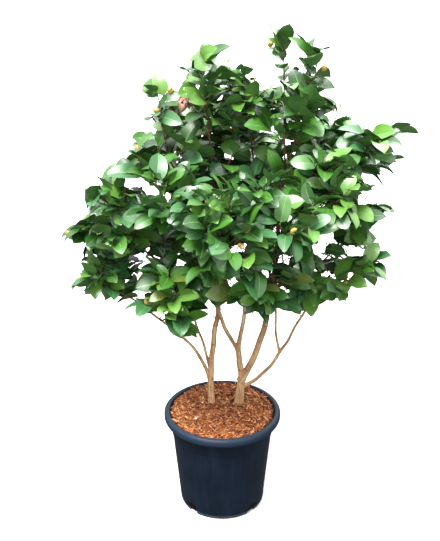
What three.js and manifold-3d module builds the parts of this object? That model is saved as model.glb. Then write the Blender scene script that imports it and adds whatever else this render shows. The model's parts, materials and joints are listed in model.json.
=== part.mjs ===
// Camellia shrub in a round nursery pot, about 1.53 m tall with its pot.
// Millimetres, +Z up, +X right, +Y to the back. The origin is the centre of the pot's flat underside.
// Two stems rise from the bark mulch, fork into boughs, and carry masses of broad evergreen leaves.
import * as THREE from "three";
import { mergeVertices } from "three/addons/utils/BufferGeometryUtils.js";
import Module from "manifold-3d";

const wasm = await Module();
wasm.setup();

const GAP = 0.3; // air between two pieces that touch
const UP = new THREE.Vector3(0, 0, 1);
const GOLDEN_ANGLE = Math.PI * (3 - Math.sqrt(5));
const GOLDEN_SHARE = (Math.sqrt(5) - 1) / 2;

// Pot: a tapered shell with a rolled rim, and drainage notches round its lower corner.
const POT = {
  height: 331,
  sides: 40,
  wall: 3,
  floor: 3,
  underside: 131, // radius of the flat that it stands on
  cornerHeight: 9,
  cornerRadius: 138,
  shoulderRadius: 165, // wall radius just under the rim
  rimRadius: 185,
  rimHeight: 29,
  mouthRadius: 168,
};
const NOTCHES = { count: 10, width: 16, height: 12, depth: 20 };

// Bark mulch: fills the pot, flat round the stems and falling a little to the wall.
const MULCH = { top: 316, edge: 308, flatRadius: 95 };
const STEM_FOOT = MULCH.top - 12; // a stem's curve starts this high, and is cut flat just over the mulch

// Leaves, larger than life because each stands for two or three.
const LEAF = { length: 112, width: 64, thickness: 3.4, fold: 6, droop: 9, arch: 1 };
LEAF.thickest = 0.3; // shares of the length, from the base
LEAF.widest = 0.45;
const BUD = { length: 17, width: 11, sunk: 3 };
const TWIG = { leaderFoot: 5, leaderTip: 3.4, leaderRings: 3, shootFoot: 2.7, shootTip: 2.1, sides: 3 };
const CELL_GAP = 3; // free space between two neighbouring masses
const LIMB_ROOM = { shoot: 12, leaf: 6 }; // free space round a limb that a shoot or a leaf passes

const MATERIALS = {
  pot: { color: 0x2a3440, roughness: 0.5, metalness: 0 },
  mulch: { color: 0x7c4526, roughness: 0.95, metalness: 0 },
  bark: { color: 0xa8845c, roughness: 0.85, metalness: 0 },
  leaf: { color: 0x2f5d2c, roughness: 0.4, metalness: 0 },
};

// Stems and boughs. Each is one tapering limb: it starts inside its parent, at a share of the
// parent's length, passes two knees a third and two thirds of the way along, and ends at its tip.
const STEMS = [
  {
    name: "stem_left",
    foot: [-33, 42, STEM_FOOT],
    radii: [10.5, 4.5],
    kneeA: [-24, 28, 585],
    kneeB: [4, 2, 855],
    tip: [-30, 20, 1125],
  },
  {
    name: "stem_right",
    foot: [48, 42, STEM_FOOT],
    radii: [14, 8.5],
    kneeA: [60, 48, 390],
    kneeB: [57, 50, 462],
    tip: [48, 42, 536],
  },
];
// Each row: name, parent, share of the parent's length, radii at foot and tip, two knees and tip.
const BOUGHS = [
  ["bough_right", "stem_right", 0.4, [11.5, 4.5], [138, 30, 645], [160, 10, 885], [178, 0, 1125]],
  ["bough_inner", "stem_right", 0.97, [7.5, 4], [74, 68, 690], [88, 102, 840], [112, 118, 985]],
  ["bough_cross", "stem_right", 0.93, [7, 3.5], [-9, -10, 673], [-42, -50, 815], [-90, -75, 950]],
  ["bough_low_right", "stem_right", 0.3, [6.5, 3.2], [160, 27, 485], [232, 0, 640], [318, -30, 810]],
  ["bough_low_left", "stem_left", 0.085, [6.5, 3], [-80, 24, 522], [-163, -22, 638], [-255, -50, 735]],
  ["bough_mid_left", "stem_left", 0.16, [5, 3], [-66, 72, 545], [-102, 105, 645], [-132, 125, 745]],
  ["bough_left", "stem_left", 0.5, [5, 2.8], [-105, 8, 792], [-198, -2, 850], [-262, -10, 930]],
  ["bough_upper_left", "stem_left", 0.8, [3.6, 2.6], [-80, 12, 1045], [-120, 5, 1102], [-155, 0, 1160]],
  ["bough_low_back", "bough_low_right", 0.42, [4.4, 2.8], [165, 45, 620], [172, 75, 705], [190, 120, 780]],
  ["bough_shoulder", "bough_right", 0.62, [5, 2.8], [222, -22, 985], [290, -38, 1095], [365, -42, 1162]],
  ["bough_right_side", "bough_right", 0.47, [4.6, 2.8], [212, 2, 815], [275, -10, 838], [345, -22, 868]],
  ["bough_back", "bough_inner", 0.5, [5, 2.8], [80, 165, 860], [70, 230, 940], [60, 285, 1015]],
  ["bough_back_left", "stem_left", 0.6, [4.6, 2.8], [-45, 85, 905], [-95, 160, 960], [-140, 225, 1020]],
  ["bough_back_right", "bough_right", 0.56, [4.6, 2.8], [195, 75, 905], [240, 145, 955], [285, 205, 1010]],
  ["bough_front", "bough_cross", 0.7, [4, 2.6], [-38, -120, 870], [-30, -180, 915], [-20, -235, 960]],
  ["bough_front_right", "bough_right", 0.36, [4.6, 2.6], [150, -50, 765], [142, -125, 825], [130, -190, 890]],
].map(([name, parent, at, radii, kneeA, kneeB, tip]) => ({ name, parent, at, radii, kneeA, kneeB, tip }));

// Masses of foliage. Each grows on one leader, from a share of a limb's length to its own tip,
// with side shoots as long as its reach. Of the shoots, as many as buds says end in a bud.
// Each row: name, limb, share of the limb's length, tip, reach, shoots, buds.
const MASSES = [
  ["top_sprig", "bough_right", 1, [168, 20, 1450], 80, 2, 1],
  ["top_right", "bough_right", 0.9, [250, -25, 1400], 130, 4, 1],
  ["top_shoulder", "bough_right", 0.78, [315, 25, 1270], 140, 5, 0],
  ["top_centre", "bough_inner", 1, [60, 60, 1335], 150, 5, 1],
  ["top_left", "stem_left", 1, [-51, 20, 1400], 130, 5, 1],
  ["upper_left_tip", "bough_upper_left", 1, [-176, 0, 1325], 95, 4, 2],
  ["upper_left", "bough_upper_left", 0.75, [-250, -40, 1165], 115, 4, 1],
  ["left", "bough_left", 0.7, [-300, -70, 1050], 130, 5, 0],
  ["far_left", "bough_left", 1, [-372, 0, 945], 125, 5, 2],
  ["low_left", "bough_low_left", 1, [-358, -20, 790], 130, 5, 1],
  ["low_left_front", "bough_low_left", 0.75, [-140, -190, 810], 125, 5, 1],
  ["front_left", "bough_cross", 1, [-140, -180, 1080], 140, 5, 1],
  ["front_centre", "bough_front", 1, [0, -310, 1040], 140, 5, 1],
  ["front_low", "bough_front_right", 0.8, [45, -260, 830], 130, 5, 0],
  ["front_right", "bough_front_right", 1, [150, -265, 1060], 140, 5, 2],
  ["right_centre", "bough_shoulder", 0.45, [290, -190, 1130], 130, 5, 0],
  ["far_right", "bough_shoulder", 1, [395, -50, 1215], 115, 4, 0],
  ["right_side", "bough_right_side", 0.75, [415, 70, 1000], 125, 5, 1],
  ["right_low", "bough_right_side", 1, [405, -75, 850], 115, 4, 0],
  ["low_right", "bough_low_right", 1, [300, -95, 790], 125, 5, 1],
  ["low_centre", "bough_low_back", 1, [180, 190, 860], 130, 5, 0],
  ["back_top", "bough_inner", 0.85, [40, 240, 1170], 145, 5, 1],
  ["back_left", "bough_back_left", 1, [-185, 270, 1110], 145, 5, 0],
  ["back_left_low", "bough_mid_left", 1, [-200, 250, 840], 150, 5, 1],
  ["back_right", "bough_back_right", 1, [330, 245, 1090], 145, 5, 1],
  ["back_low", "bough_back", 1, [50, 370, 950], 150, 5, 0],
].map(([name, limb, at, tip, reach, shoots, buds]) => ({ name, limb, at, tip, reach, shoots, buds }));
const LEAVES_A_MASS = 16;

const vector = ([x, y, z]) => new THREE.Vector3(x, y, z);

// A seeded Lehmer generator: each state is the last one times 48271, modulo 2^31 - 1.
function seededRandom(seed) {
  let state = seed;
  return () => {
    state = (state * 48271) % 2147483647;
    return state / 2147483647;
  };
}

// Solids ---------------------------------------------------------------------------------------

function solidOf(geometry) {
  const bare = geometry.clone();
  bare.deleteAttribute("normal");
  bare.deleteAttribute("uv");
  const merged = mergeVertices(bare, 1e-5);
  const corners = merged.index.array;
  const triangles = [];
  for (let i = 0; i < corners.length; i += 3) {
    const [a, b, c] = corners.slice(i, i + 3);
    if (a !== b && b !== c && c !== a) triangles.push(a, b, c);
  }
  const vertProperties = new Float32Array(merged.attributes.position.array);
  const triVerts = new Uint32Array(triangles);
  return new wasm.Manifold(new wasm.Mesh({ numProp: 3, vertProperties, triVerts }));
}

function geometryOf(solid) {
  const mesh = solid.getMesh();
  const geometry = new THREE.BufferGeometry();
  geometry.setAttribute("position", new THREE.BufferAttribute(mesh.vertProperties, 3));
  geometry.setIndex(new THREE.BufferAttribute(mesh.triVerts, 1));
  geometry.computeVertexNormals();
  return geometry;
}

// The largest of a solid's loose bodies: scraps and sealed hollows are left out.
function mainBody(solid) {
  const bodies = solid.decompose();
  return bodies.reduce((best, body) => (body.volume() > best.volume() ? body : best));
}

function overlaps(a, b) {
  const p = a.boundingBox();
  const q = b.boundingBox();
  return [0, 1, 2].every((axis) => p.min[axis] <= q.max[axis] && q.min[axis] <= p.max[axis]);
}

function cutBy(solid, cutters) {
  const near = cutters.filter((cutter) => overlaps(solid, cutter));
  return near.reduce((rest, cutter) => rest.subtract(cutter), solid);
}

// Limbs and twigs --------------------------------------------------------------------------------

// Two directions across a curve at one point, from the world axis that the curve crosses most.
function sectionAxes(curve, share) {
  const chord = curve.getPoint(1).sub(curve.getPoint(0));
  const reference = Math.abs(chord.x) < Math.abs(chord.y) ? vector([1, 0, 0]) : vector([0, 1, 0]);
  const along = curve.getTangent(share);
  const across = reference.addScaledVector(along, -reference.dot(along)).normalize();
  return { along, across, beyond: new THREE.Vector3().crossVectors(across, along) };
}

// A round limb of changing radius: a unit cylinder whose rings are carried along the curve.
// Crowding above 1 brings the rings closer together near the foot, where a flare needs them.
function limbGeometry(curve, radiusAt, { sides, rings, extra = 0, crowding = 1 }) {
  const geometry = new THREE.CylinderGeometry(1, 1, 1, sides, rings);
  const places = geometry.attributes.position;
  for (let i = 0; i < places.count; i += 1) {
    const ring = Math.round((places.getY(i) + 0.5) * rings);
    const share = (ring / rings) ** crowding;
    const { along, across, beyond } = sectionAxes(curve, share);
    const radius = radiusAt(share) + extra;
    const place = curve.getPoint(share);
    place.addScaledVector(across, radius * places.getX(i));
    place.addScaledVector(beyond, radius * places.getZ(i));
    if (share === 0) place.addScaledVector(along, -extra);
    if (share === 1) place.addScaledVector(along, extra);
    places.setXYZ(i, place.x, place.y, place.z);
  }
  return geometry;
}

// A cubic curve that passes its two knees a third and two thirds of the way along.
function limbCurve(foot, kneeA, kneeB, tip) {
  const blend = (a, b, c, d) => {
    const sum = foot.clone().multiplyScalar(a).addScaledVector(kneeA, b);
    return sum.addScaledVector(kneeB, c).addScaledVector(tip, d).divideScalar(6);
  };
  return new THREE.CubicBezierCurve3(foot, blend(-5, 18, -9, 2), blend(2, -9, 18, -5), tip);
}

const FLARE = { gain: 0.3, fade: 22 }; // a stem's foot is wider by the gain, which dies away over the fade

function makeLimb(spec, limbs) {
  const parent = limbs.get(spec.parent);
  const foot = parent ? parent.curve.getPoint(spec.at) : vector(spec.foot);
  const curve = limbCurve(foot, vector(spec.kneeA), vector(spec.kneeB), vector(spec.tip));
  const length = curve.getLength();
  const [footRadius, tipRadius] = spec.radii;
  const radiusAt = (share) => {
    const flare = parent ? 0 : FLARE.gain * Math.exp((-share * length) / FLARE.fade);
    return (footRadius + (tipRadius - footRadius) * share) * (1 + flare);
  };
  return { name: spec.name, rooted: !parent, curve, length, radiusAt };
}

const LIMB_SIDES = { stem: 9, bough: 6 };
const RING_STEP = 75; // length of limb between two rings
const STEM_CROWDING = 1.6;

function limbSolid(limb, extra = 0) {
  const sides = limb.rooted ? LIMB_SIDES.stem : LIMB_SIDES.bough;
  const rings = Math.max(4, Math.round(limb.length / RING_STEP));
  const crowding = limb.rooted ? STEM_CROWDING : 1;
  return solidOf(limbGeometry(limb.curve, limb.radiusAt, { sides, rings, extra, crowding }));
}

// Growth ---------------------------------------------------------------------------------------

// A leader that goes on from a limb's tip is nearly straight. One from a limb's side leaves it
// lower and turns up towards its own tip.
const SAG = { fromTip: 0.05, fromSide: 0.2 };
const CENTRE_SHARE = 0.78; // where along its leader a mass has its centre
const BEAD_STEP = 9;

function makeLeader(spec, limbs) {
  const foot = limbs.get(spec.limb).curve.getPoint(spec.at);
  const tip = vector(spec.tip);
  const sag = (spec.at === 1 ? SAG.fromTip : SAG.fromSide) * foot.distanceTo(tip);
  const middle = foot.clone().lerp(tip, 0.5).addScaledVector(UP, -sag);
  const bowed = new THREE.QuadraticBezierCurve3(foot, middle, tip);
  const curve = new JointedPath(bowed.getPoints(TWIG.leaderRings));
  return { spec, curve, centre: curve.getPoint(CENTRE_SHARE) };
}

// Straight lengths from joint to joint, so that a root set on the path lies in the middle of the
// twig, whose rings stand at the joints.
class JointedPath extends THREE.Curve {
  constructor(joints) {
    super();
    this.joints = joints;
  }

  getPoint(share) {
    const lengths = this.joints.length - 1;
    const i = Math.min(Math.floor(share * lengths), lengths - 1);
    return this.joints[i].clone().lerp(this.joints[i + 1], share * lengths - i);
  }
}

// Places along a curve with the radius there, for keeping leaves and twigs off it.
function beads(curve, radiusAt, owner) {
  const count = Math.ceil(curve.getLength() / BEAD_STEP);
  return Array.from({ length: count + 1 }, (_, i) => {
    return { place: curve.getPoint(i / count), radius: radiusAt(i / count), owner };
  });
}

// The space of one mass: nearer to its own centre than to any other mass's, less half the gap.
function cellOf(leader, leaders) {
  const walls = leaders.filter((other) => other !== leader).map((other) => {
    const outward = other.centre.clone().sub(leader.centre);
    const half = outward.length() / 2;
    return { outward: outward.normalize(), limit: half - CELL_GAP / 2 };
  });
  const offset = new THREE.Vector3();
  return (place) => {
    offset.subVectors(place, leader.centre);
    return walls.every((wall) => wall.outward.dot(offset) < wall.limit);
  };
}

// A direction at an angle to a curve's own, turned about it by an azimuth.
function offshoot(curve, share, angle, azimuth) {
  const { along, across, beyond } = sectionAxes(curve, share);
  const side = across.multiplyScalar(Math.cos(azimuth)).addScaledVector(beyond, Math.sin(azimuth));
  return along.multiplyScalar(Math.cos(angle)).addScaledVector(side, Math.sin(angle));
}

const SHOOT = { first: 0.3, span: 0.62, angle: 0.95, lift: 0.3, taper: 0.4 };
SHOOT.tries = [1, 0.75, 0.5].flatMap((part) => [0, 0.8, -0.8].map((turn) => [turn, part]));

// Side shoots leave the leader at the golden angle, lifted towards the light.
// A shoot that would leave the cell or touch a limb is tried turned aside and shorter, and is
// then skipped.
function growShoots(leader, inCell, obstacles, random) {
  const { shoots, reach } = leader.spec;
  const grown = [];
  for (let k = 0; k < shoots; k += 1) {
    const share = SHOOT.first + (SHOOT.span * (k + random())) / shoots;
    const azimuth = k * GOLDEN_ANGLE + random();
    const length = reach * (1 - SHOOT.taper * share) * (0.85 + 0.3 * random());
    const curve = SHOOT.tries
      .map(([turn, part]) => shootCurve(leader.curve, share, azimuth + turn, length * part))
      .find((candidate) => staysClear(candidate, inCell, obstacles));
    if (curve) grown.push(curve);
  }
  return grown;
}

function shootCurve(leader, share, azimuth, length) {
  const foot = leader.getPoint(share);
  const direction = offshoot(leader, share, SHOOT.angle, azimuth);
  direction.addScaledVector(UP, SHOOT.lift).normalize();
  return new THREE.LineCurve3(foot, foot.clone().addScaledVector(direction, length));
}

function staysClear(curve, inCell, obstacles) {
  const stations = [0, 0.2, 0.4, 0.6, 0.8, 1].map((share) => curve.getPoint(share));
  const room = TWIG.shootFoot + LIMB_ROOM.shoot;
  return stations.every((station) => {
    if (!inCell(station)) return false;
    return obstacles.every((bead) => station.distanceTo(bead.place) > bead.radius + room);
  });
}

const LEAFING = {
  step: 20,
  bare: { leader: 0.62, shoot: 0.3 }, // share of a twig before its first leaf
  angle: 0.95,
  tuft: 4,
  tuftAngle: 0.75,
  tuftGap: 2.5,
  dip: 0.12,
  lean: 0.35,
  roll: 0.5,
  asides: [0, 1.1, -1.1, 2.3, -2.3],
};

// Leaf stations: along the outer part of a twig at the golden angle, and a tuft at its tip.
function leafStations(curve, bareShare, random) {
  const leafy = curve.getLength() * (1 - bareShare);
  const count = Math.max(1, Math.floor(leafy / LEAFING.step));
  const turn = random() * 2 * Math.PI;
  return Array.from({ length: count + LEAFING.tuft }, (_, i) => {
    const beforeTip = Math.max(0, (count - i) / count);
    const toTip = beforeTip * leafy + LEAFING.tuftGap * (1 + (i % LEAFING.tuft));
    return {
      share: Math.max(0, 1 - toTip / curve.getLength()),
      angle: (beforeTip ? LEAFING.angle : LEAFING.tuftAngle) * (0.8 + 0.4 * random()),
      azimuth: turn + i * GOLDEN_ANGLE,
      roll: LEAFING.roll * (2 * random() - 1),
      size: 0.85 + 0.25 * random(),
    };
  });
}

// A leaf's own axes: along its midrib, and facing up as far as its direction lets it, rolled a
// little. Turned aside, it is the same leaf at another azimuth.
function leafFrame(curve, station, aside) {
  const along = offshoot(curve, station.share, station.angle, station.azimuth + aside);
  along.addScaledVector(UP, -LEAFING.dip).normalize();
  const lean = curve.getTangent(station.share).multiplyScalar(LEAFING.lean).add(UP);
  const facing = lean.addScaledVector(along, -lean.dot(along)).normalize();
  facing.applyAxisAngle(along, station.roll);
  const across = new THREE.Vector3().crossVectors(along, facing);
  return { foot: curve.getPoint(station.share), along, across, facing, size: station.size };
}

function leafPlace(frame, across, along, facing) {
  const place = frame.foot.clone();
  place.addScaledVector(frame.across, across * frame.size);
  place.addScaledVector(frame.along, along * frame.size);
  return place.addScaledVector(frame.facing, facing * frame.size);
}

// A leaf clears the cell's walls with its whole outline, and every limb with a box round itself.
function leafFits(frame, inCell, obstacles) {
  const half = LEAF.width / 2;
  const outline = [
    leafPlace(frame, 0, LEAF.length, -LEAF.droop),
    leafPlace(frame, half, LEAF.length * LEAF.widest, LEAF.fold),
    leafPlace(frame, -half, LEAF.length * LEAF.widest, LEAF.fold),
  ];
  if (!outline.every(inCell)) return false;
  const offset = new THREE.Vector3();
  return obstacles.every(({ place, radius }) => {
    offset.subVectors(place, frame.foot);
    const margin = radius + LIMB_ROOM.leaf;
    const along = offset.dot(frame.along);
    const besideIt = Math.abs(offset.dot(frame.across)) > half * frame.size + margin;
    const pastEnds = along < -margin || along > LEAF.length * frame.size + margin;
    return besideIt || pastEnds || Math.abs(offset.dot(frame.facing)) > LEAF.droop + margin;
  });
}

const ROOT_TRIANGLES = 26;

// The same list in an order that visits all of it evenly: by the golden multiples' fractions.
function spreadOut(list) {
  const share = (i) => (i * GOLDEN_SHARE) % 1;
  return list.map((_, i) => i).sort((a, b) => share(a) - share(b)).map((i) => list[i]);
}

// One leaf: an octahedron drawn out to a base, a drooping tip, two raised edges and a thick midrib.
function leafSolid(frame) {
  const geometry = new THREE.OctahedronGeometry(1);
  const places = geometry.attributes.position;
  for (let i = 0; i < places.count; i += 1) {
    const [across, along, facing] = [places.getX(i), places.getY(i), places.getZ(i)].map(Math.round);
    const middle = LEAF.length * (facing ? LEAF.thickest : LEAF.widest);
    const lift = across ? LEAF.fold : LEAF.arch + (facing * LEAF.thickness) / 2;
    const reach = [0, middle, LEAF.length][along + 1];
    const height = [0, lift, -LEAF.droop][along + 1];
    const place = leafPlace(frame, (across * LEAF.width) / 2, reach, height);
    places.setXYZ(i, place.x, place.y, place.z);
  }
  return solidOf(geometry);
}

// A bud at a shoot's tip, pointing on along it.
function budSolid(curve) {
  const geometry = new THREE.OctahedronGeometry(1);
  geometry.scale(BUD.width / 2, BUD.length / 2, BUD.width / 2);
  const along = curve.getTangent(1);
  geometry.applyQuaternion(new THREE.Quaternion().setFromUnitVectors(new THREE.Vector3(0, 1, 0), along));
  const centre = curve.getPoint(1).addScaledVector(along, BUD.length / 2 - BUD.sunk);
  geometry.translate(centre.x, centre.y, centre.z);
  return solidOf(geometry);
}

function twigSolid(curve, foot, tip, rings) {
  const radiusAt = (share) => foot + (tip - foot) * share;
  return solidOf(limbGeometry(curve, radiusAt, { sides: TWIG.sides, rings }));
}

// A whole mass: leader, shoots, buds and leaves fused into one body, cut clear of the limbs.
function growMass(leader, leaders, limbBeads, limbCutters, seed) {
  const random = seededRandom(seed);
  const inCell = cellOf(leader, leaders);
  const obstacles = limbBeads.filter((bead) => bead.owner !== leader);
  const shoots = growShoots(leader, inCell, obstacles, random);
  const twigs = [
    { curve: leader.curve, bareShare: LEAFING.bare.leader },
    ...shoots.map((curve) => ({ curve, bareShare: LEAFING.bare.shoot })),
  ];
  const frames = twigs.flatMap(({ curve, bareShare }) => {
    return leafStations(curve, bareShare, random).map((station) => {
      const tries = LEAFING.asides.map((aside) => leafFrame(curve, station, aside));
      return tries.find((frame) => leafFits(frame, inCell, obstacles));
    });
  });
  const side = [
    ...shoots.map((curve) => twigSolid(curve, TWIG.shootFoot, TWIG.shootTip, 1)),
    ...shoots.slice(0, leader.spec.buds).map(budSolid),
  ];
  const stem = twigSolid(leader.curve, TWIG.leaderFoot, TWIG.leaderTip, TWIG.leaderRings);
  const bare = side.reduce((joined, piece) => joined.add(piece), stem);
  return mainBody(cutBy(addLeaves(bare, frames.filter(Boolean)), limbCutters));
}

// Leaves join the twigs in an even order, up to the number a mass carries. A root alone adds
// few triangles, so a leaf that adds more has run into another leaf or twig, and is skipped.
function addLeaves(bare, frames) {
  let whole = bare;
  let count = 0;
  for (const frame of spreadOut(frames)) {
    const joined = whole.add(leafSolid(frame));
    if (count < LEAVES_A_MASS && joined.numTri() - whole.numTri() <= ROOT_TRIANGLES) {
      whole = joined;
      count += 1;
    }
  }
  return whole;
}

// Pot and mulch ----------------------------------------------------------------------------------

// A profile of [radius, height] places turned about the vertical axis.
function turned(profile) {
  const points = profile.map(([radius, height]) => new THREE.Vector2(radius, height));
  return new THREE.LatheGeometry(points, POT.sides).rotateX(Math.PI / 2);
}

const rimFoot = POT.height - POT.rimHeight;

// The outer wall's radius at a height between the corner and the rim.
function wallRadius(height) {
  const share = (height - POT.cornerHeight) / (rimFoot - POT.cornerHeight);
  return POT.cornerRadius + (POT.shoulderRadius - POT.cornerRadius) * share;
}

function potSolid() {
  const lip = 6; // radius of the rim's rounding
  const shell = solidOf(turned([
    [0, 0],
    [POT.underside, 0],
    [POT.cornerRadius - 2, 3],
    [POT.cornerRadius, POT.cornerHeight],
    [POT.shoulderRadius, rimFoot],
    [POT.rimRadius - 4, rimFoot],
    [POT.rimRadius, rimFoot + 4],
    [POT.rimRadius, POT.height - lip],
    [POT.rimRadius - lip * 0.8, POT.height],
    [POT.mouthRadius, POT.height],
    [POT.shoulderRadius - POT.wall, rimFoot],
    [wallRadius(POT.floor) - POT.wall, POT.floor],
    [0, POT.floor],
  ]));
  return notchCutters().reduce((rest, notch) => rest.subtract(notch), shell);
}

function notchCutters() {
  return Array.from({ length: NOTCHES.count }, (_, i) => {
    const box = new THREE.BoxGeometry(NOTCHES.depth, NOTCHES.width, NOTCHES.height);
    box.translate(POT.cornerRadius, 0, POT.floor + 3 + NOTCHES.height / 2);
    return solidOf(box.rotateZ(((i + 0.5) * 2 * Math.PI) / NOTCHES.count));
  });
}

// The mulch, or with extra the space that the stems keep clear of over it.
function mulchSolid(extra = 0) {
  const clear = POT.wall + GAP;
  const low = POT.floor + GAP;
  return solidOf(turned([
    [0, low],
    [wallRadius(low) - clear, low],
    [wallRadius(MULCH.edge) - clear, MULCH.edge + extra],
    [MULCH.flatRadius, MULCH.top + extra],
    [0, MULCH.top + extra],
  ]));
}

// The whole plant --------------------------------------------------------------------------------

function meshOf(name, solid, finish) {
  const mesh = new THREE.Mesh(geometryOf(solid), new THREE.MeshStandardMaterial(MATERIALS[finish]));
  mesh.name = name;
  return mesh;
}

function growPlant() {
  const plant = new THREE.Group();
  plant.add(meshOf("pot", potSolid(), "pot"));
  plant.add(meshOf("mulch", mulchSolid(), "mulch"));

  const limbs = new Map();
  const cutters = [mulchSolid(GAP)];
  [...STEMS, ...BOUGHS].forEach((spec) => {
    const limb = makeLimb(spec, limbs);
    limbs.set(spec.name, limb);
    plant.add(meshOf(spec.name, mainBody(cutBy(limbSolid(limb), cutters)), "bark"));
    cutters.push(limbSolid(limb, GAP));
  });

  const leaders = MASSES.map((spec) => makeLeader(spec, limbs));
  const obstacles = [
    ...[...limbs.values()].flatMap((limb) => beads(limb.curve, limb.radiusAt, limb)),
    ...leaders.flatMap((leader) => beads(leader.curve, () => TWIG.leaderFoot, leader)),
  ];
  leaders.forEach((leader, i) => {
    const mass = growMass(leader, leaders, obstacles, cutters, i + 1);
    plant.add(meshOf(`leaves_${leader.spec.name}`, mass, "leaf"));
  });
  return plant;
}

export default growPlant();
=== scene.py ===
# %% [markdown]
# # A camellia shrub in its pot
#
# The real thing is an evergreen shrub about a metre and a half tall, sold in a round plastic pot. Two woody
# stems come out of a bed of bark mulch, fork into boughs, and carry broad glossy leaves on thin shoots.
# A growing thing is best made by a rule: we state where the limbs and the masses of leaves are, and one
# seeded rule grows shoots, twigs and leaves from them. Every surface is worked out with numpy, as whole
# arrays.
#
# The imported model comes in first. It is the fixed frame: its nodes say where everything is, and each of them
# is then replaced by a finer piece that keeps to the same space.

# %% The frame
import json
import math

import bpy
import numpy as np
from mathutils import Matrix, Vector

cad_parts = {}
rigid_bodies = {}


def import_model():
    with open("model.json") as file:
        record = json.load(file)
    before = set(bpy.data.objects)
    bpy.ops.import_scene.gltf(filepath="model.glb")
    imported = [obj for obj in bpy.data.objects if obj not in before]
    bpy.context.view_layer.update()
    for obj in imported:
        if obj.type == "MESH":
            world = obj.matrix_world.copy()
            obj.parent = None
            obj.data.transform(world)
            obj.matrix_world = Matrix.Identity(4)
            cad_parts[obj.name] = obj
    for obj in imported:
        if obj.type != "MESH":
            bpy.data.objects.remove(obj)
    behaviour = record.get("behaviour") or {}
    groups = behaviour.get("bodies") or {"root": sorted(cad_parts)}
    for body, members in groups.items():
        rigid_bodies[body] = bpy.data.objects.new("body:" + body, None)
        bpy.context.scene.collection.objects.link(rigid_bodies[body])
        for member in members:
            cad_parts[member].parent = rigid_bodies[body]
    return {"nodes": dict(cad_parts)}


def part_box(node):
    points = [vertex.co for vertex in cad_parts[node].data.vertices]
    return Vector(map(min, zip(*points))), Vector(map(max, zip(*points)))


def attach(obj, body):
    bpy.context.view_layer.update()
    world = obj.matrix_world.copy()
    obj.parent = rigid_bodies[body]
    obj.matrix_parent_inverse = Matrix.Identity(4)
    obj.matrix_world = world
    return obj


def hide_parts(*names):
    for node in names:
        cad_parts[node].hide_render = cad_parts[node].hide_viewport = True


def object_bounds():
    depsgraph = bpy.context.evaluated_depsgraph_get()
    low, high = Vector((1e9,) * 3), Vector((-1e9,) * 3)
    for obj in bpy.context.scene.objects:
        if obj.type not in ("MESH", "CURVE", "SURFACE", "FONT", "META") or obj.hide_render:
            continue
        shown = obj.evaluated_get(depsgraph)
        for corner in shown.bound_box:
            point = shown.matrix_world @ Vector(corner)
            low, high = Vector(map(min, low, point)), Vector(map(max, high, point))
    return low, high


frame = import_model()
cad_box = [list(corner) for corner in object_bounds()]
NODES = sorted(frame["nodes"])
UP = np.array([0.0, 0.0, 1.0])
GOLDEN_ANGLE = math.pi * (3 - math.sqrt(5))
print(f"{len(NODES)} nodes, box {np.round(cad_box, 3).tolist()}")

# %% [markdown]
# ## The view
#
# A plant this tall is looked at from a little above, so the camera is about two metres up and tilted down
# by 24 degrees. A long lens keeps the pot from looking much larger than the crown. The light is that of a
# bright, thinly clouded day. A broad soft sun stands high in front and to the left, three large lamps fill
# the front, the right-hand side and the back, where they bring out the gloss on the leaves, and the sky
# grows brighter from the horizon upwards. A single strong lamp would be simpler, but then the inside of
# the crown would be black.

# %% Camera, floor and lamps
CAMERA_PLACE = (-0.0071, -2.647, 1.985)
CAMERA_TILT = math.radians(90 - 23.9)
LENS = 64.55  # millimetres
SENSOR = 36  # millimetres along its long side
CROWN = (0, 0, 0.95)  # the middle of the crown, which the lamps shine at
# Each row: name, kind, place, power, colour, and how wide the sun looks or the side of the lamp.
LAMPS = [
    ("sun_soft", "SUN", (-1.2, -1.6, 5.4), 6.8, (1, 0.99, 0.96), math.radians(22)),
    ("lamp_front", "AREA", (-1.0, -3.0, 1.2), 30, (1, 0.99, 0.97), 1.6),
    ("lamp_side", "AREA", (2.4, -1.8, 0.9), 18, (0.97, 0.99, 1), 1.6),
    ("lamp_back", "AREA", (1.4, 2.4, 3.4), 90, (0.97, 0.99, 1), 2.0),
]
SKY_STRENGTH = 1.1
# Each row: height of the direction, and the sky's colour there. Below the horizon it stands in for the
# little light that comes up from the ground.
SKY_STOPS = [
    (0.0, (0.20, 0.20, 0.19)),
    (0.002, (0.78, 0.79, 0.8)),
    (0.35, (1.0, 1.02, 1.04)),
    (1.0, (1.95, 1.98, 2.02)),
]


def add_camera():
    camera = bpy.data.objects.new("camera", bpy.data.cameras.new("camera"))
    bpy.context.scene.collection.objects.link(camera)
    camera.location = CAMERA_PLACE
    camera.rotation_euler = (CAMERA_TILT, 0, 0)
    camera.data.lens = LENS
    camera.data.sensor_width = SENSOR
    bpy.context.scene.camera = camera


def add_lamp(name, kind, place, power, colour, spread):
    """A lamp at one place that shines towards the middle of the crown."""
    lamp = bpy.data.lights.new(name, kind)
    lamp.energy = power
    lamp.color = colour
    if kind == "SUN":
        lamp.angle = spread
    else:
        lamp.size = spread
    holder = bpy.data.objects.new(name, lamp)
    bpy.context.scene.collection.objects.link(holder)
    holder.location = place
    direction = np.array(CROWN) - np.array(place)
    flat = math.hypot(direction[0], direction[1])
    holder.rotation_euler = (math.atan2(flat, -direction[2]), 0, math.atan2(-direction[0], direction[1]))


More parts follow.
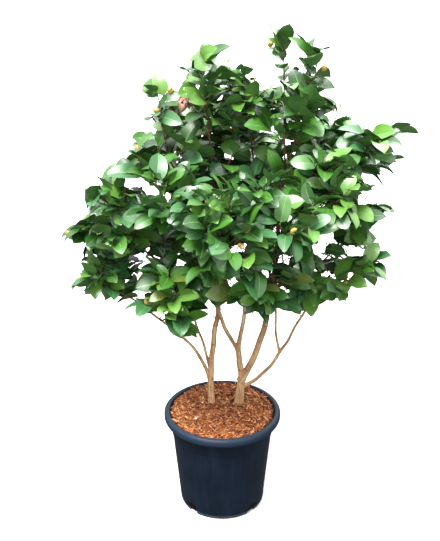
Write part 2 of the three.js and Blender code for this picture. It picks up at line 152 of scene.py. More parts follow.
def add_sky(strength, stops):
    """A sky whose colour changes with the height of the direction looked in: 1 is straight up, and the
    horizon and all below it is 0."""
    world = bpy.data.worlds.new("sky")
    bpy.context.scene.world = world
    world.use_nodes = True
    tree = world.node_tree
    split = tree.nodes.new("ShaderNodeSeparateXYZ")
    tree.links.new(tree.nodes.new("ShaderNodeTexCoord").outputs["Generated"], split.inputs["Vector"])
    ramp = tree.nodes.new("ShaderNodeValToRGB")
    tree.links.new(split.outputs["Z"], ramp.inputs["Fac"])
    while len(ramp.color_ramp.elements) < len(stops):
        ramp.color_ramp.elements.new(0.5)
    for element, (height, colour) in zip(ramp.color_ramp.elements, stops):
        element.position = height
        element.color = (*colour, 1)
    background = tree.nodes["Background"]
    tree.links.new(ramp.outputs["Color"], background.inputs["Color"])
    background.inputs["Strength"].default_value = strength


add_camera()
for row in LAMPS:
    add_lamp(*row)
add_sky(SKY_STRENGTH, SKY_STOPS)
bpy.context.scene.view_settings.view_transform = "Standard"
print(f"camera {CAMERA_PLACE}, lens {LENS} mm, {len(LAMPS)} lamps")

# %% [markdown]
# ## Helpers for numpy surfaces
#
# Two shapes make nearly everything here. A *tube* is a profile carried along a path: at each place on the
# path a ring of points is set across it. A *turned* shape is a profile swung about the vertical. Both are
# grids of places, so their faces are the same formula: each grid square is one face, and the ends are closed.
# `Surface` gathers places, faces and the number of each face's material, and joins copies of a shape.

# %% Surfaces and meshes
def unit(vectors):
    """Vectors divided by their own length."""
    return vectors / np.maximum(np.linalg.norm(vectors, axis=-1, keepdims=True), 1e-12)


def grid_faces(rows, columns):
    """One square between each two rows and columns, where the last column joins the first.
    Square (i, j) has the corners (i, j), (i+1, j), (i+1, j+1) and (i, j+1)."""
    i, j = np.meshgrid(np.arange(rows - 1), np.arange(columns), indexing="ij")
    k = (j + 1) % columns
    corners = [i * columns + j, (i + 1) * columns + j, (i + 1) * columns + k, i * columns + k]
    return np.stack(corners, -1).reshape(-1, 4)


def end_faces(rows, columns):
    """The first row as one face, and the last row as one face that is turned the other way."""
    ring = np.arange(columns)
    return np.stack([ring, (rows - 1) * columns + ring[::-1]])


class Surface:
    """Places, faces, and the number of each face's material, for one or many copies of a shape."""

    def __init__(self):
        self.places, self.faces, self.finishes, self.count = [], [], [], 0

    def add(self, places, *groups):
        """Adds places (copies, points, 3), joined by groups of (faces, finish). Faces are numbered
        within one copy. A finish is one number, or numbers that spread to (copies, faces)."""
        copies, points = places.shape[:2]
        starts = self.count + points * np.arange(copies)
        for faces, finish in groups:
            self.faces.append((faces[None] + starts[:, None, None]).reshape(-1, faces.shape[1]))
            self.finishes.append(np.broadcast_to(finish, (copies, len(faces))).reshape(-1))
        self.places.append(places.reshape(-1, 3))
        self.count += copies * points

    def mesh(self, name):
        """The whole surface as one smooth mesh, each array put in at once."""
        mesh = bpy.data.meshes.new(name)
        sizes = np.concatenate([np.full(len(f), f.shape[1]) for f in self.faces])
        corners = np.concatenate([f.reshape(-1) for f in self.faces])
        mesh.vertices.add(self.count)
        mesh.vertices.foreach_set("co", np.concatenate(self.places).astype(np.float32).reshape(-1))
        mesh.loops.add(len(corners))
        mesh.loops.foreach_set("vertex_index", corners.astype(np.int32))
        mesh.polygons.add(len(sizes))
        mesh.polygons.foreach_set("loop_start", (np.cumsum(sizes) - sizes).astype(np.int32))
        mesh.polygons.foreach_set("material_index", np.concatenate(self.finishes).astype(np.int32))
        mesh.polygons.foreach_set("use_smooth", np.ones(len(sizes), bool))
        mesh.update(calc_edges=True)
        return mesh


def section_axes(paths):
    """Three directions at every ring of paths (copies, rings, 3): along the path, across it, and beyond,
    which is across x along. Across is a world axis made square to the path: X for a path that runs more
    along Y than along X, and Y for any other."""
    along = unit(np.gradient(paths, axis=1))
    chord = np.abs(paths[:, -1] - paths[:, 0])
    runs_along_y = (chord[:, 0] < chord[:, 1])[:, None, None]
    reference = np.where(runs_along_y, [1.0, 0.0, 0.0], [0.0, 1.0, 0.0])
    across = unit(reference - along * (reference * along).sum(-1, keepdims=True))
    return along, across, np.cross(across, along)


def tube_places(paths, radii, sides):
    """place = path + radius * (across * cos(turn) + beyond * sin(turn)), for turns from 0 to a full circle.
    The radii are one for each ring, or one for each ring and side."""
    _, across, beyond = section_axes(paths)
    turn = np.arange(sides) * 2 * np.pi / sides
    ring = across[:, :, None] * np.cos(turn)[:, None] + beyond[:, :, None] * np.sin(turn)[:, None]
    radii = np.asarray(radii).reshape(*paths.shape[:2], -1, 1)
    return (paths[:, :, None] + radii * ring).reshape(len(paths), -1, 3)


def turned_places(profile, columns):
    """place = (radius * cos(turn), -radius * sin(turn), height), for a profile of (radius, height) rows.
    The radius may also change with the turn, as an array of (rows, columns)."""
    radius, height = profile
    turn = np.arange(columns) * 2 * np.pi / columns
    radius = np.broadcast_to(np.asarray(radius).reshape(len(height), -1), (len(height), columns))
    places = [radius * np.cos(turn), -radius * np.sin(turn), np.broadcast_to(height[:, None], radius.shape)]
    return np.stack(places, -1).reshape(1, -1, 3)


def add_piece(mesh, finishes, nodes=()):
    """Makes a mesh a piece of the plant: it takes its materials, rides on the root body, and stands for
    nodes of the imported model."""
    piece = bpy.data.objects.new(mesh.name, mesh)
    bpy.context.scene.collection.objects.link(piece)
    for finish in finishes:
        mesh.materials.append(finish)
    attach(piece, "root")
    if nodes:
        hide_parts(*nodes)


def add_attribute(mesh, name, kind, values):
    """Keeps a value, or a vector, for each point of a mesh, for its material to read."""
    mesh.attributes.new(name, kind, "POINT")
    field = "vector" if kind == "FLOAT_VECTOR" else "value"
    mesh.attributes[name].data.foreach_set(field, values.astype(np.float32).reshape(-1))


def measure(mesh):
    """A mesh's volume in litres, which is positive where its faces point outwards, and its triangles.
    Each triangle and the origin make a tetrahedron, and their signed volumes add up."""
    mesh.calc_loop_triangles()
    corners = np.empty(len(mesh.loop_triangles) * 3, np.int32)
    mesh.loop_triangles.foreach_get("vertices", corners)
    places = np.empty(len(mesh.vertices) * 3, np.float32)
    mesh.vertices.foreach_get("co", places)
    a, b, c = places.reshape(-1, 3)[corners].reshape(-1, 3, 3).transpose(1, 0, 2).astype(float)
    litres = (a * np.cross(b, c)).sum() / 6 * 1000
    return f"{mesh.name}: {litres:.3f} l, {len(a)} triangles"


print("surface helpers ready")

# %% [markdown]
# ## Helpers for materials
#
# A finish is a Principled shader with a pattern from noise. The noise reads Object coordinates, which are
# metres here, so a scale of 100 gives patches about a centimetre across. What is the same all over goes
# straight onto the shader's socket; what changes from place to place comes through a colour ramp.

# %% Material helpers
NOISE_ROUGHNESS = 0.55
BLACK = (0, 0, 0, 1)


def linear(red, green, blue):
    """An ordinary screen colour, 0 to 255, as the linear colour that a shader takes."""
    screen = np.array([red, green, blue]) / 255
    return tuple(np.where(screen <= 0.04045, screen / 12.92, ((screen + 0.055) / 1.055) ** 2.4)) + (1.0,)


class Finish:
    """A material under construction: its nodes, its shader and the coordinates that its patterns read."""

    def __init__(self, name, roughness, attribute=None):
        self.material = bpy.data.materials.new(name)
        self.material.use_nodes = True
        self.tree = self.material.node_tree
        self.shader = self.tree.nodes["Principled BSDF"]
        self.shader.inputs["Roughness"].default_value = roughness
        self.coordinates = self.reader(attribute).outputs["Vector"] if attribute else self.places()

    def places(self):
        """The place of each point of the surface, in metres."""
        return self.tree.nodes.new("ShaderNodeTexCoord").outputs["Object"]

    def height(self):
        """The height of each point above the ground, in metres."""
        split = self.tree.nodes.new("ShaderNodeSeparateXYZ")
        self.tree.links.new(self.places(), split.inputs["Vector"])
        return split.outputs["Z"]

    def reader(self, attribute):
        """The node that reads an attribute of the mesh."""
        source = self.tree.nodes.new("ShaderNodeAttribute")
        source.attribute_name = attribute
        return source

    def noise(self, scale, detail=3.0, stretch=(1, 1, 1)):
        """A noise value from 0 to 1, in patches about 1 / scale metres across, stretched along an axis."""
        mapping = self.tree.nodes.new("ShaderNodeMapping")
        mapping.inputs["Scale"].default_value = stretch
        noise = self.tree.nodes.new("ShaderNodeTexNoise")
        noise.inputs["Scale"].default_value = scale
        noise.inputs["Detail"].default_value = detail
        noise.inputs["Roughness"].default_value = NOISE_ROUGHNESS
        self.tree.links.new(self.coordinates, mapping.inputs["Vector"])
        self.tree.links.new(mapping.outputs["Vector"], noise.inputs["Vector"])
        return noise.outputs["Fac"]

    def ramp(self, value, *stops):
        """A colour that changes with a value. Each stop is (value, colour)."""
        ramp = self.tree.nodes.new("ShaderNodeValToRGB")
        elements = ramp.color_ramp.elements
        while len(elements) < len(stops):
            elements.new(0.5)
        for element, (place, colour) in zip(elements, stops):
            element.position = place
            element.color = colour
        self.tree.links.new(value, ramp.inputs["Fac"])
        return ramp.outputs["Color"]

    def mask(self, value, *stops):
        """A grey that changes with a value, to mix two colours by. Each stop is (value, grey)."""
        return self.ramp(value, *((place, (grey, grey, grey, 1)) for place, grey in stops))

    def mix(self, factor, first, second):
        """Two colours mixed by a factor, where 0 gives the first and 1 the second."""
        mix = self.tree.nodes.new("ShaderNodeMix")
        mix.data_type = "RGBA"
        self.put(factor, mix.inputs["Factor"])
        self.put(first, mix.inputs["A"])
        self.put(second, mix.inputs["B"])
        return mix.outputs["Result"]

    def put(self, value, socket):
        """Links a node's output to a socket, or sets a plain value on it."""
        if isinstance(value, bpy.types.NodeSocket):
            self.tree.links.new(value, socket)
        else:
            socket.default_value = value

    def colour(self, value):
        self.put(value, self.shader.inputs["Base Color"])
        return self

    def rough(self, value, low, high):
        """Roughness that changes between low and high with a value from 0 to 1."""
        spread = self.tree.nodes.new("ShaderNodeMapRange")
        spread.inputs["To Min"].default_value = low
        spread.inputs["To Max"].default_value = high
        self.tree.links.new(value, spread.inputs["Value"])
        self.tree.links.new(spread.outputs["Result"], self.shader.inputs["Roughness"])
        return self

    def bump(self, height, distance, strength=1.0):
        """Fine relief: a height of 1 stands distance metres proud."""
        bump = self.tree.nodes.new("ShaderNodeBump")
        bump.inputs["Distance"].default_value = distance
        bump.inputs["Strength"].default_value = strength
        self.tree.links.new(height, bump.inputs["Height"])
        self.tree.links.new(bump.outputs["Normal"], self.shader.inputs["Normal"])
        return self


print("material helpers ready")

# %% [markdown]
# ## Floor
#
# The floor is a plain pale sheet, part of the studio and not of the plant. It could be a curved backdrop, but
# one large face is enough where the view never meets its edge. It throws no light back on the plant, because
# a sheet this wide and pale would light the pot and the leaves from below.

# %% Floor
FLOOR_SIDE = 300.0


def add_floor():
    half = FLOOR_SIDE / 2
    corners = [(-half, -half, 0), (half, -half, 0), (half, half, 0), (-half, half, 0)]
    mesh = bpy.data.meshes.new("floor")
    mesh.from_pydata(corners, [], [(0, 1, 2, 3)])
    floor = bpy.data.objects.new("floor", mesh)
    bpy.context.scene.collection.objects.link(floor)
    mesh.materials.append(Finish("floor_paper", 0.9).colour((0.8, 0.8, 0.8, 1)).material)
    floor.visible_diffuse = False
    floor.visible_glossy = False


add_floor()
print(f"floor {FLOOR_SIDE} m a side")

# %% [markdown]
# ## The pot
#
# A nursery pot is moulded from thin plastic. Its wall leans out from a foot with four drainage openings at
# the corner, steps out a little at a shoulder band, and ends in a fat rolled rim that hands can grip.
# It could be a lathe object with boolean cuts for the notches. A turned surface does it in one: the profile
# is a list of (radius, height) and each notch or rib is a dent, a term taken off the radius where the turn
# and the height fall inside it.

# %% Pot shape
pot_low, pot_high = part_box("pot")
POT_HEIGHT = pot_high.z
RIM_RADIUS = (pot_high.x - pot_low.x) / 2
RIM_HEIGHT = 0.029
POT_WALL = 0.003
CORNER_RADIUS = 0.138  # of the wall where it starts, just over the foot
CORNER_HEIGHT = 0.009
SHOULDER_RADIUS = 0.165
SHOULDER_DROP = 0.045  # from the rim's foot down to the step in the wall
RIM_FOOT = POT_HEIGHT - RIM_HEIGHT
STEP_HEIGHT = RIM_FOOT - SHOULDER_DROP
ROLL = 0.0115  # from the crest of the rolled rim out to its edge
NOTCH_COUNT = 4
NOTCH = {"depth": 0.006, "height": 0.035, "half": 0.016}  # half is half of its width
NOTCH_FLOOR = 0.121  # the rows further out than this are pushed in by a notch
INNER_FOOT = 0.098  # radius of the inside low down, behind the notches
GROOVE_COUNT = 14
POT_COLUMNS = 400


def wall_radius(height):
    """The wall leans out evenly from the corner to the rim's foot."""
    share = (height - CORNER_HEIGHT) / (RIM_FOOT - CORNER_HEIGHT)
    return CORNER_RADIUS + (SHOULDER_RADIUS - CORNER_RADIUS) * share


def arc(centre, radii, start, stop, count):
    """Places on an ellipse's arc, between two angles in degrees, as (radius, height) rows."""
    angle = np.radians(np.linspace(start, stop, count))
    return np.stack([centre[0] + radii[0] * np.cos(angle), centre[1] + radii[1] * np.sin(angle)], -1)


def pot_profile():
    """Under the foot from the middle out, up the wall, over the rolled rim, and down the inside."""
    heights = np.concatenate([
        np.linspace(0.012, 0.038, 14), np.linspace(0.045, STEP_HEIGHT - 0.005, 24),
        np.linspace(STEP_HEIGHT - 0.002, STEP_HEIGHT + 0.002, 6),
        np.linspace(STEP_HEIGHT + 0.007, RIM_FOOT - 0.006, 6),
    ])
    wall = np.stack([wall_radius(heights), heights], -1)
    crest = RIM_RADIUS - ROLL
    return np.concatenate([
        [[0.004, 0.0035], [0.06, 0.0035], [0.117, 0.0035], [0.1195, 0.0], [0.127, 0.0]],
        arc((0.129, 0.005), (0.0035, 0.005), -80, 0, 4),
        [[0.1345, 0.0075]],
        wall,
        arc((SHOULDER_RADIUS + 0.004, RIM_FOOT - 0.004), (0.004, 0.006), 180, 100, 4),
        arc((crest, RIM_FOOT + 0.012), (ROLL, 0.012), -80, 0, 7),
        arc((crest, POT_HEIGHT - 0.011), (ROLL, 0.011), 10, 90, 7),
        arc((0.1725, POT_HEIGHT - 0.006), (0.0055, 0.006), 100, 180, 5),
        [[SHOULDER_RADIUS - POT_WALL, RIM_FOOT], [wall_radius(0.05) - POT_WALL, 0.05]],
        [[INNER_FOOT, 0.04], [INNER_FOOT, 0.008], [0.06, 0.0065], [0.004, 0.0065]],
    ])


def hump(value, half_width, edge):
    """1 inside half_width of zero, falling smoothly to 0 across an edge."""
    return 1 / (1 + np.exp((np.abs(value) - half_width) / edge))


def pot_notches(profile, turn):
    """1 where a row and turn fall in a drainage notch of the foot, and 0 elsewhere."""
    radius, height = profile[:, :1], profile[:, 1:]
    part = 2 * np.pi / NOTCH_COUNT
    off_notch = (turn % part - part / 2) * CORNER_RADIUS
    at_foot = (radius > NOTCH_FLOOR) & (height < NOTCH["height"])
    return at_foot * hump(off_notch, NOTCH["half"], 0.0005)


def pot_dents(profile, turn):
    """How far the wall is pushed in at each row and turn: the notches, the step under the shoulder band,
    upright grooves between wide panels, and a slow swell from the mould: a sum of two sines of the turn."""
    radius, height = profile[:, :1], profile[:, 1:]
    outer = radius > wall_radius(height) - 0.001
    below_step = 1 / (1 + np.exp((height - STEP_HEIGHT) / 0.0004))
    above_foot = 1 / (1 + np.exp((0.05 - height) / 0.006))
    groove = 0.0003 * np.abs(np.cos(turn * GROOVE_COUNT / 2)) ** 70 * below_step * above_foot
    swell = 0.0006 * np.sin(turn * 3 + 1) + 0.0004 * np.sin(turn * 5)
    wall = outer * (0.0026 * below_step + groove) + NOTCH["depth"] * pot_notches(profile, turn)
    on_wall = (height > 0.02) & (height < RIM_FOOT)
    return wall + swell * on_wall


def build_pot():
    profile = pot_profile()
    turn = np.arange(POT_COLUMNS) * 2 * np.pi / POT_COLUMNS
    radius = profile[:, :1] - pot_dents(profile, turn)
    surface = Surface()
    rows = len(profile)
    places = turned_places((radius, profile[:, 1]), POT_COLUMNS)
    surface.add(places, (grid_faces(rows, POT_COLUMNS), 0), (end_faces(rows, POT_COLUMNS), 0))
    mesh = surface.mesh("pot_shell")
    # The notch mask is kept on the mesh for the painted shade in the notches.
    add_attribute(mesh, "notch_shade", "FLOAT", pot_notches(profile, turn))
    return mesh


pot_mesh = build_pot()
print(measure(pot_mesh))

# %% [markdown]
# The plastic is a dull blue-grey. Handling leaves it a little uneven, so its roughness changes in soft
# patches, with faint streaks down the wall from the mould. The rim is painted a tone paler, a painted light
# where it catches more light, and a painted shade darkens the crease where the wall meets it. The foot has
# been dragged over gravel: there the colour is scratched to a pale grey, by a noise that counts only low down.
# The notches stand for openings into the dark inside of the pot, and the attribute *notch_shade* paints that
# shade into them, nearly black. Painting an image could do all this, but ramps on the height keep each mark a
# number that can be changed.

# %% Pot plastic
def pot_plastic():
    finish = Finish("pot_plastic", 0.45)
    finish.shader.inputs["Specular IOR Level"].default_value = 0.25
    height = finish.height()
    patches = finish.noise(9, 4)
    blue_grey = finish.ramp(patches, (0.3, linear(4, 15, 28)), (0.7, linear(10, 25, 42)))
    streaks = finish.mask(finish.noise(55, 3, stretch=(1, 1, 0.08)), (0.45, 0), (0.75, 0.35))
    shade = finish.mix(streaks, blue_grey, linear(26, 42, 60))
    # Painted light: the rim is a tone paler, where it catches more light.
    rim = finish.mask(height, (RIM_FOOT - 0.002, 0), (RIM_FOOT + 0.004, 0.7))
    shade = finish.mix(rim, shade, linear(34, 50, 68))
    # Painted shade: a dark band in the crease under the rim.
    painted_crease_shade = finish.mask(height, (RIM_FOOT - 0.006, 0), (RIM_FOOT - 0.002, 0.8),
                         (RIM_FOOT + 0.001, 0.8), (RIM_FOOT + 0.003, 0))
    shade = finish.mix(painted_crease_shade, shade, linear(6, 11, 18))
    low_down = finish.mask(height, (0.002, 0), (0.005, 1), (0.015, 0))
    scratches = finish.mask(finish.noise(160, 5, stretch=(1, 1, 2.5)), (0.42, 0), (0.54, 0.9))
    scuffed = finish.mix(low_down, BLACK, scratches)
    shade = finish.mix(scuffed, shade, linear(138, 147, 155))
    # Painted shade: the notches are coloured nearly black, for the shade inside the pot.
    finish.colour(finish.mix(finish.reader("notch_shade").outputs["Fac"], shade, linear(5, 7, 10)))
    finish.rough(patches, 0.45, 0.6)
    finish.bump(finish.noise(900, 2), 0.0002, 0.6)
    print(f"pot_plastic: {len(finish.tree.nodes)} nodes")
    return finish.material


add_piece(pot_mesh, [pot_plastic()], ["pot"])

# %% [markdown]
# ## The limbs
#
# Two stems rise from the mulch and fork into boughs. Each limb is one tapering curve that starts inside its
# parent, passes two knees a third and two thirds of the way along, and ends at its tip, where a mass of
# leaves takes over. The rows below are the same as in the solid model, in metres. The limbs could be drawn
# by hand as curve objects, but then no other cell could ask where a limb is.
#
# A cubic that passes four points at even shares is their Lagrange polynomial, so a whole path is one matrix
# product of weights and points.

# %% Limb table
STEM_FOOT = 0.304  # the curve starts inside the mulch
# Each row: name, parent, share of the parent's length, radii at foot and tip, then two knees and the tip.
STEMS = [
    ("stem_left", None, 0, (0.0105, 0.0045),
     (-0.024, 0.028, 0.585), (0.004, 0.002, 0.855), (-0.03, 0.02, 1.125)),
    ("stem_right", None, 0, (0.014, 0.0085),
     (0.06, 0.048, 0.39), (0.057, 0.05, 0.462), (0.048, 0.042, 0.536)),
]
STEM_FEET = {"stem_left": (-0.033, 0.042, STEM_FOOT), "stem_right": (0.048, 0.042, STEM_FOOT)}
BOUGHS = [
    ("bough_right", "stem_right", 0.4, (0.0115, 0.0045),
     (0.138, 0.03, 0.645), (0.16, 0.01, 0.885), (0.178, 0, 1.125)),
    ("bough_inner", "stem_right", 0.97, (0.0075, 0.004),
     (0.074, 0.068, 0.69), (0.088, 0.102, 0.84), (0.112, 0.118, 0.985)),
    ("bough_cross", "stem_right", 0.93, (0.007, 0.0035),
     (-0.009, -0.01, 0.673), (-0.042, -0.05, 0.815), (-0.09, -0.075, 0.95)),
    ("bough_low_right", "stem_right", 0.3, (0.0065, 0.0032),
     (0.16, 0.027, 0.485), (0.232, 0, 0.64), (0.318, -0.03, 0.81)),
    ("bough_low_left", "stem_left", 0.085, (0.0065, 0.003),
     (-0.08, 0.024, 0.522), (-0.163, -0.022, 0.638), (-0.255, -0.05, 0.735)),
    ("bough_mid_left", "stem_left", 0.16, (0.005, 0.003),
     (-0.066, 0.072, 0.545), (-0.102, 0.105, 0.645), (-0.132, 0.125, 0.745)),
    ("bough_left", "stem_left", 0.5, (0.005, 0.0028),
     (-0.105, 0.008, 0.792), (-0.198, -0.002, 0.85), (-0.262, -0.01, 0.93)),
    ("bough_upper_left", "stem_left", 0.8, (0.0036, 0.0026),
     (-0.08, 0.012, 1.045), (-0.12, 0.005, 1.102), (-0.155, 0, 1.16)),
    ("bough_low_back", "bough_low_right", 0.42, (0.0044, 0.0028),
     (0.165, 0.045, 0.62), (0.172, 0.075, 0.705), (0.19, 0.12, 0.78)),
    ("bough_shoulder", "bough_right", 0.62, (0.005, 0.0028),
     (0.222, -0.022, 0.985), (0.29, -0.038, 1.095), (0.365, -0.042, 1.162)),
    ("bough_right_side", "bough_right", 0.47, (0.0046, 0.0028),
     (0.212, 0.002, 0.815), (0.275, -0.01, 0.838), (0.345, -0.022, 0.868)),
    ("bough_back", "bough_inner", 0.5, (0.005, 0.0028),
     (0.08, 0.165, 0.86), (0.07, 0.23, 0.94), (0.06, 0.285, 1.015)),
    ("bough_back_left", "stem_left", 0.6, (0.0046, 0.0028),
     (-0.045, 0.085, 0.905), (-0.095, 0.16, 0.96), (-0.14, 0.225, 1.02)),
    ("bough_back_right", "bough_right", 0.56, (0.0046, 0.0028),
     (0.195, 0.075, 0.905), (0.24, 0.145, 0.955), (0.285, 0.205, 1.01)),
    ("bough_front", "bough_cross", 0.7, (0.004, 0.0026),
     (-0.038, -0.12, 0.87), (-0.03, -0.18, 0.915), (-0.02, -0.235, 0.96)),
    ("bough_front_right", "bough_right", 0.36, (0.0046, 0.0026),
     (0.15, -0.05, 0.765), (0.142, -0.125, 0.825), (0.13, -0.19, 0.89)),
]


def cubic_through(points):
    """The cubic that passes four points at shares 0, 1/3, 2/3 and 1: each point's weight is a cubic that
    is 1 at its own share and 0 at the other three."""
    points = np.array(points, float)

    def path(shares):
        s = np.asarray(shares, float)[..., None]
        a, b, c, d = s, s - 1 / 3, s - 2 / 3, s - 1
        return (-4.5 * b * c * d * points[0] + 13.5 * a * c * d * points[1]
                - 13.5 * a * b * d * points[2] + 4.5 * a * b * c * points[3])

    return path


def path_length(path):
    """The length of a path, as the sum of 60 short straight ones."""
    return np.linalg.norm(np.diff(path(np.linspace(0, 1, 61)), axis=0), axis=1).sum()


def limb_of(row, limbs):
    """A limb with its path, which starts on its parent's path or at its own foot in the mulch."""
    name, parent, at, radii, knee_a, knee_b, tip = row
    foot = limbs[parent]["path"](at) if parent else STEM_FEET[name]
    path = cubic_through([foot, knee_a, knee_b, tip])
    return {"name": name, "parent": parent, "path": path, "radii": radii, "length": path_length(path)}


limbs = {}
for row in STEMS + BOUGHS:
    limbs[row[0]] = limb_of(row, limbs)
print(f"{len(limbs)} limbs, {sum(limb['length'] for limb in limbs.values()):.2f} m in all")

# %% [markdown]
# ### Bark relief
#
# Camellia bark is smooth and thin. What shows on it is the places where leaves and twigs once stood: low
# rings every few centimetres, a little swollen, and here and there a knot from a lost twig. A Displace
# modifier with a texture could raise them, but rings and knots have places, so they are written into the
# radius itself: radius = taper x (1 + flare + ridges + rings) + knots, each a term of share and turn. How
# much of a ring or knot there is at a place is also kept on the mesh as the attribute *scar*, for the bark's
# colour.

# %% Limb meshes
RING_STEP = 0.005  # between two rings of the mesh
SIDES = {"thick": 20, "thin": 12, "thick_from": 0.006}
SCAR = {"first": 0.02, "step": 0.032, "stray": 0.008, "half": 0.0022, "rise": 0.07}  # rise: of the radius
KNOT = {"step": 0.16, "half": 0.0042, "rise": 0.0016}
FLARE = {"root": (0.3, 0.022), "fork": (0.42, 0.010)}  # gain at the foot, and the length over which it fades
WOBBLE = {"size": 0.0016, "wave": 0.11}


def limb_rings(limb, draws):
    """The path of a limb, with a slow sideways wobble that is nothing at its two ends."""
    count = int(limb["length"] / RING_STEP)
    share = np.linspace(0, 1, count)
    places = limb["path"](share)
    waves = limb["length"] / WOBBLE["wave"]
    phase = draws.uniform(0, 2 * np.pi, 3)
    sway = np.sin(2 * np.pi * waves * share[:, None] + phase) * np.sin(np.pi * share[:, None])
    return share, places + WOBBLE["size"] * sway * [1, 1, 0.3]


def scar_rings(limb, along, turn, draws):
    """The rings of old leaves: each is a bell across its own place, a little tilted and stronger on one
    side."""
    places = np.arange(SCAR["first"], limb["length"], SCAR["step"])
    places = places + draws.uniform(-SCAR["stray"], SCAR["stray"], len(places))
    tilt = draws.uniform(0, 2 * np.pi, len(places))
    off = along[..., None] - places - 0.0015 * np.sin(turn[..., None] + tilt)
    one_side = 0.6 + 0.4 * np.cos(turn[..., None] + tilt)
    return (one_side * np.exp(-(off / SCAR["half"]) ** 2)).sum(-1)


def knots(limb, along, turn, draws):
    """The knots of lost twigs: each is a round bell in the distance from its own place on the bark."""
    count = max(1, int(limb["length"] / KNOT["step"]))
    knot_along = draws.uniform(0.06, 0.94, count) * limb["length"]
    knot_turn = draws.uniform(0, 2 * np.pi, count)
    swing = (turn[..., None] - knot_turn + np.pi) % (2 * np.pi) - np.pi
    distance = np.hypot(swing * limb["radii"][0], along[..., None] - knot_along)
    return np.exp(-(distance / KNOT["half"]) ** 2).sum(-1)


def limb_radii(limb, share, sides, draws):
    """The radius at each ring and side, and the scar value there."""
    foot, tip = limb["radii"]
    along = (share * limb["length"])[:, None]
    turn = (np.arange(sides) * 2 * np.pi / sides)[None]
    gain, fade = FLARE["fork" if limb["parent"] else "root"]
    flare = gain * np.exp(-along / fade)
    ridges = 0.022 * np.sin(3 * turn + along * 21) + 0.016 * np.sin(5 * turn - along * 37 + 2)
    ring = scar_rings(limb, along, turn, draws)
    knot = knots(limb, along, turn, draws)
    taper = (foot + (tip - foot) * share)[:, None]
    radius = taper * (1 + flare + ridges + SCAR["rise"] * ring) + KNOT["rise"] * knot
    return radius, np.clip(ring + 1.3 * knot, 0, 1)


def straight_coordinates(share, limb, sides):
    """Each place on the limb as if the limb were a straight upright rod: patterns that read it follow
    the wood, with no seam. The rod's start is shifted by the limb's foot, so that no two limbs look alike."""
    turn = np.arange(sides) * 2 * np.pi / sides
    around = np.stack([np.cos(turn), np.sin(turn)], -1) * limb["radii"][0]
    along = share * limb["length"] + limb["path"](0.0).sum() * 3
    rod = np.concatenate([np.broadcast_to(around, (len(share), sides, 2)),
                          np.broadcast_to(along[:, None, None], (len(share), sides, 1))], -1)
    return rod.reshape(-1, 3)


def build_limb(limb, draws):
    sides = SIDES["thick"] if limb["radii"][0] > SIDES["thick_from"] else SIDES["thin"]
    share, rings = limb_rings(limb, draws)
    radii, scars = limb_radii(limb, share, sides, draws)
    surface = Surface()
    places = tube_places(rings[None], radii[None], sides)
    surface.add(places, (grid_faces(len(share), sides), 0), (end_faces(len(share), sides), 0))
    mesh = surface.mesh("bark_" + limb["name"])
    add_attribute(mesh, "rod", "FLOAT_VECTOR", straight_coordinates(share, limb, sides))
    add_attribute(mesh, "scar", "FLOAT", scars)
    return mesh


draws = np.random.default_rng(11)
limb_meshes = {name: build_limb(limb, draws) for name, limb in limbs.items()}
for mesh in limb_meshes.values():
    print(measure(mesh))

# %% [markdown]
# The old wood is a pale tan with long brown streaks and duller patches. Higher up, among the leaves, it is
# younger and a dark warm brown. The streaks are noise on the straightened coordinates, stretched along the
# rod, and the change from old to young wood is a ramp on the height above the ground. Noise on plain Object
# coordinates would be simpler, but its streaks would stand upright on a bough that leans.

# %% Bark
def bark():
    finish = Finish("bark", 0.8, attribute="rod")
    streaks = finish.noise(260, 5, stretch=(1, 1, 0.07))
    old = finish.ramp(streaks, (0.24, linear(108, 68, 40)), (0.44, linear(184, 142, 100)),
                      (0.66, linear(230, 200, 158)))
    patches = finish.mask(finish.noise(38, 3, stretch=(1, 1, 0.6)), (0.44, 0), (0.66, 0.55))
    old = finish.mix(patches, old, linear(140, 102, 70))
    young = finish.ramp(streaks, (0.3, linear(64, 44, 30)), (0.7, linear(108, 78, 54)))
    higher = finish.mask(finish.height(), (0.66, 0), (0.86, 1))
    wood = finish.mix(higher, old, young)
    scar = finish.mask(finish.reader("scar").outputs["Fac"], (0.3, 0), (0.9, 0.75))
    finish.colour(finish.mix(scar, wood, linear(62, 42, 30)))
    finish.bump(finish.noise(700, 4, stretch=(1, 1, 0.15)), 0.0006, 0.7)
    print(f"bark: {len(finish.tree.nodes)} nodes")
    return finish.material


bark_finish = bark()
for name, mesh in limb_meshes.items():
    add_piece(mesh, [bark_finish], [name])

# %% [markdown]
# ## The mulch
#
# The pot is filled nearly to its rim with shredded bark: flat chips, slivers and fibres, rust and orange,
# with a few white crumbs of the potting mix. A particle system could scatter them, but the export drops
# instances, so the chips are computed as one array: every chip is a bent four-sided bar with its own length,
# width, thickness, turn and tilt. All of them lie on a bed that falls a little to the wall and rises to the
# back.

# %% Mulch shapes
MULCH_MIDDLE = 0.322  # height of the bed round the stems
MULCH_EDGE = 0.3205  # and at the wall, where the slope to the back is left out
MULCH_SLOPE = 0.047  # rise of the bed towards the back, for each metre
MULCH_FLAT = 0.095  # radius of the flat middle
MULCH_FLOOR = 0.04
MULCH_RADIUS = wall_radius(MULCH_EDGE) - POT_WALL - 0.001
BED_RINGS, BED_COLUMNS = 24, 120
CHIP_COUNT = 3400
CHIP_SHARES = (0.42, 0.26, 0.2, 0.12)  # of the four colours below: rust, orange, dark and tan
FIBRE_COUNT = 1500
CRUMBS = [(-0.082, -0.052), (-0.063, 0.036)]


def bed_height(places):
    """middle - (middle - edge) * share - a share that grows from 0 at the flat middle to 1 at the wall -
    plus slope * y, so that the bed is a little higher at the back than in front."""
    radius = np.linalg.norm(places[..., :2], axis=-1)
    share = np.clip((radius - MULCH_FLAT) / (MULCH_RADIUS - MULCH_FLAT), 0, 1)
    return MULCH_MIDDLE - (MULCH_MIDDLE - MULCH_EDGE) * share + MULCH_SLOPE * places[..., 1]


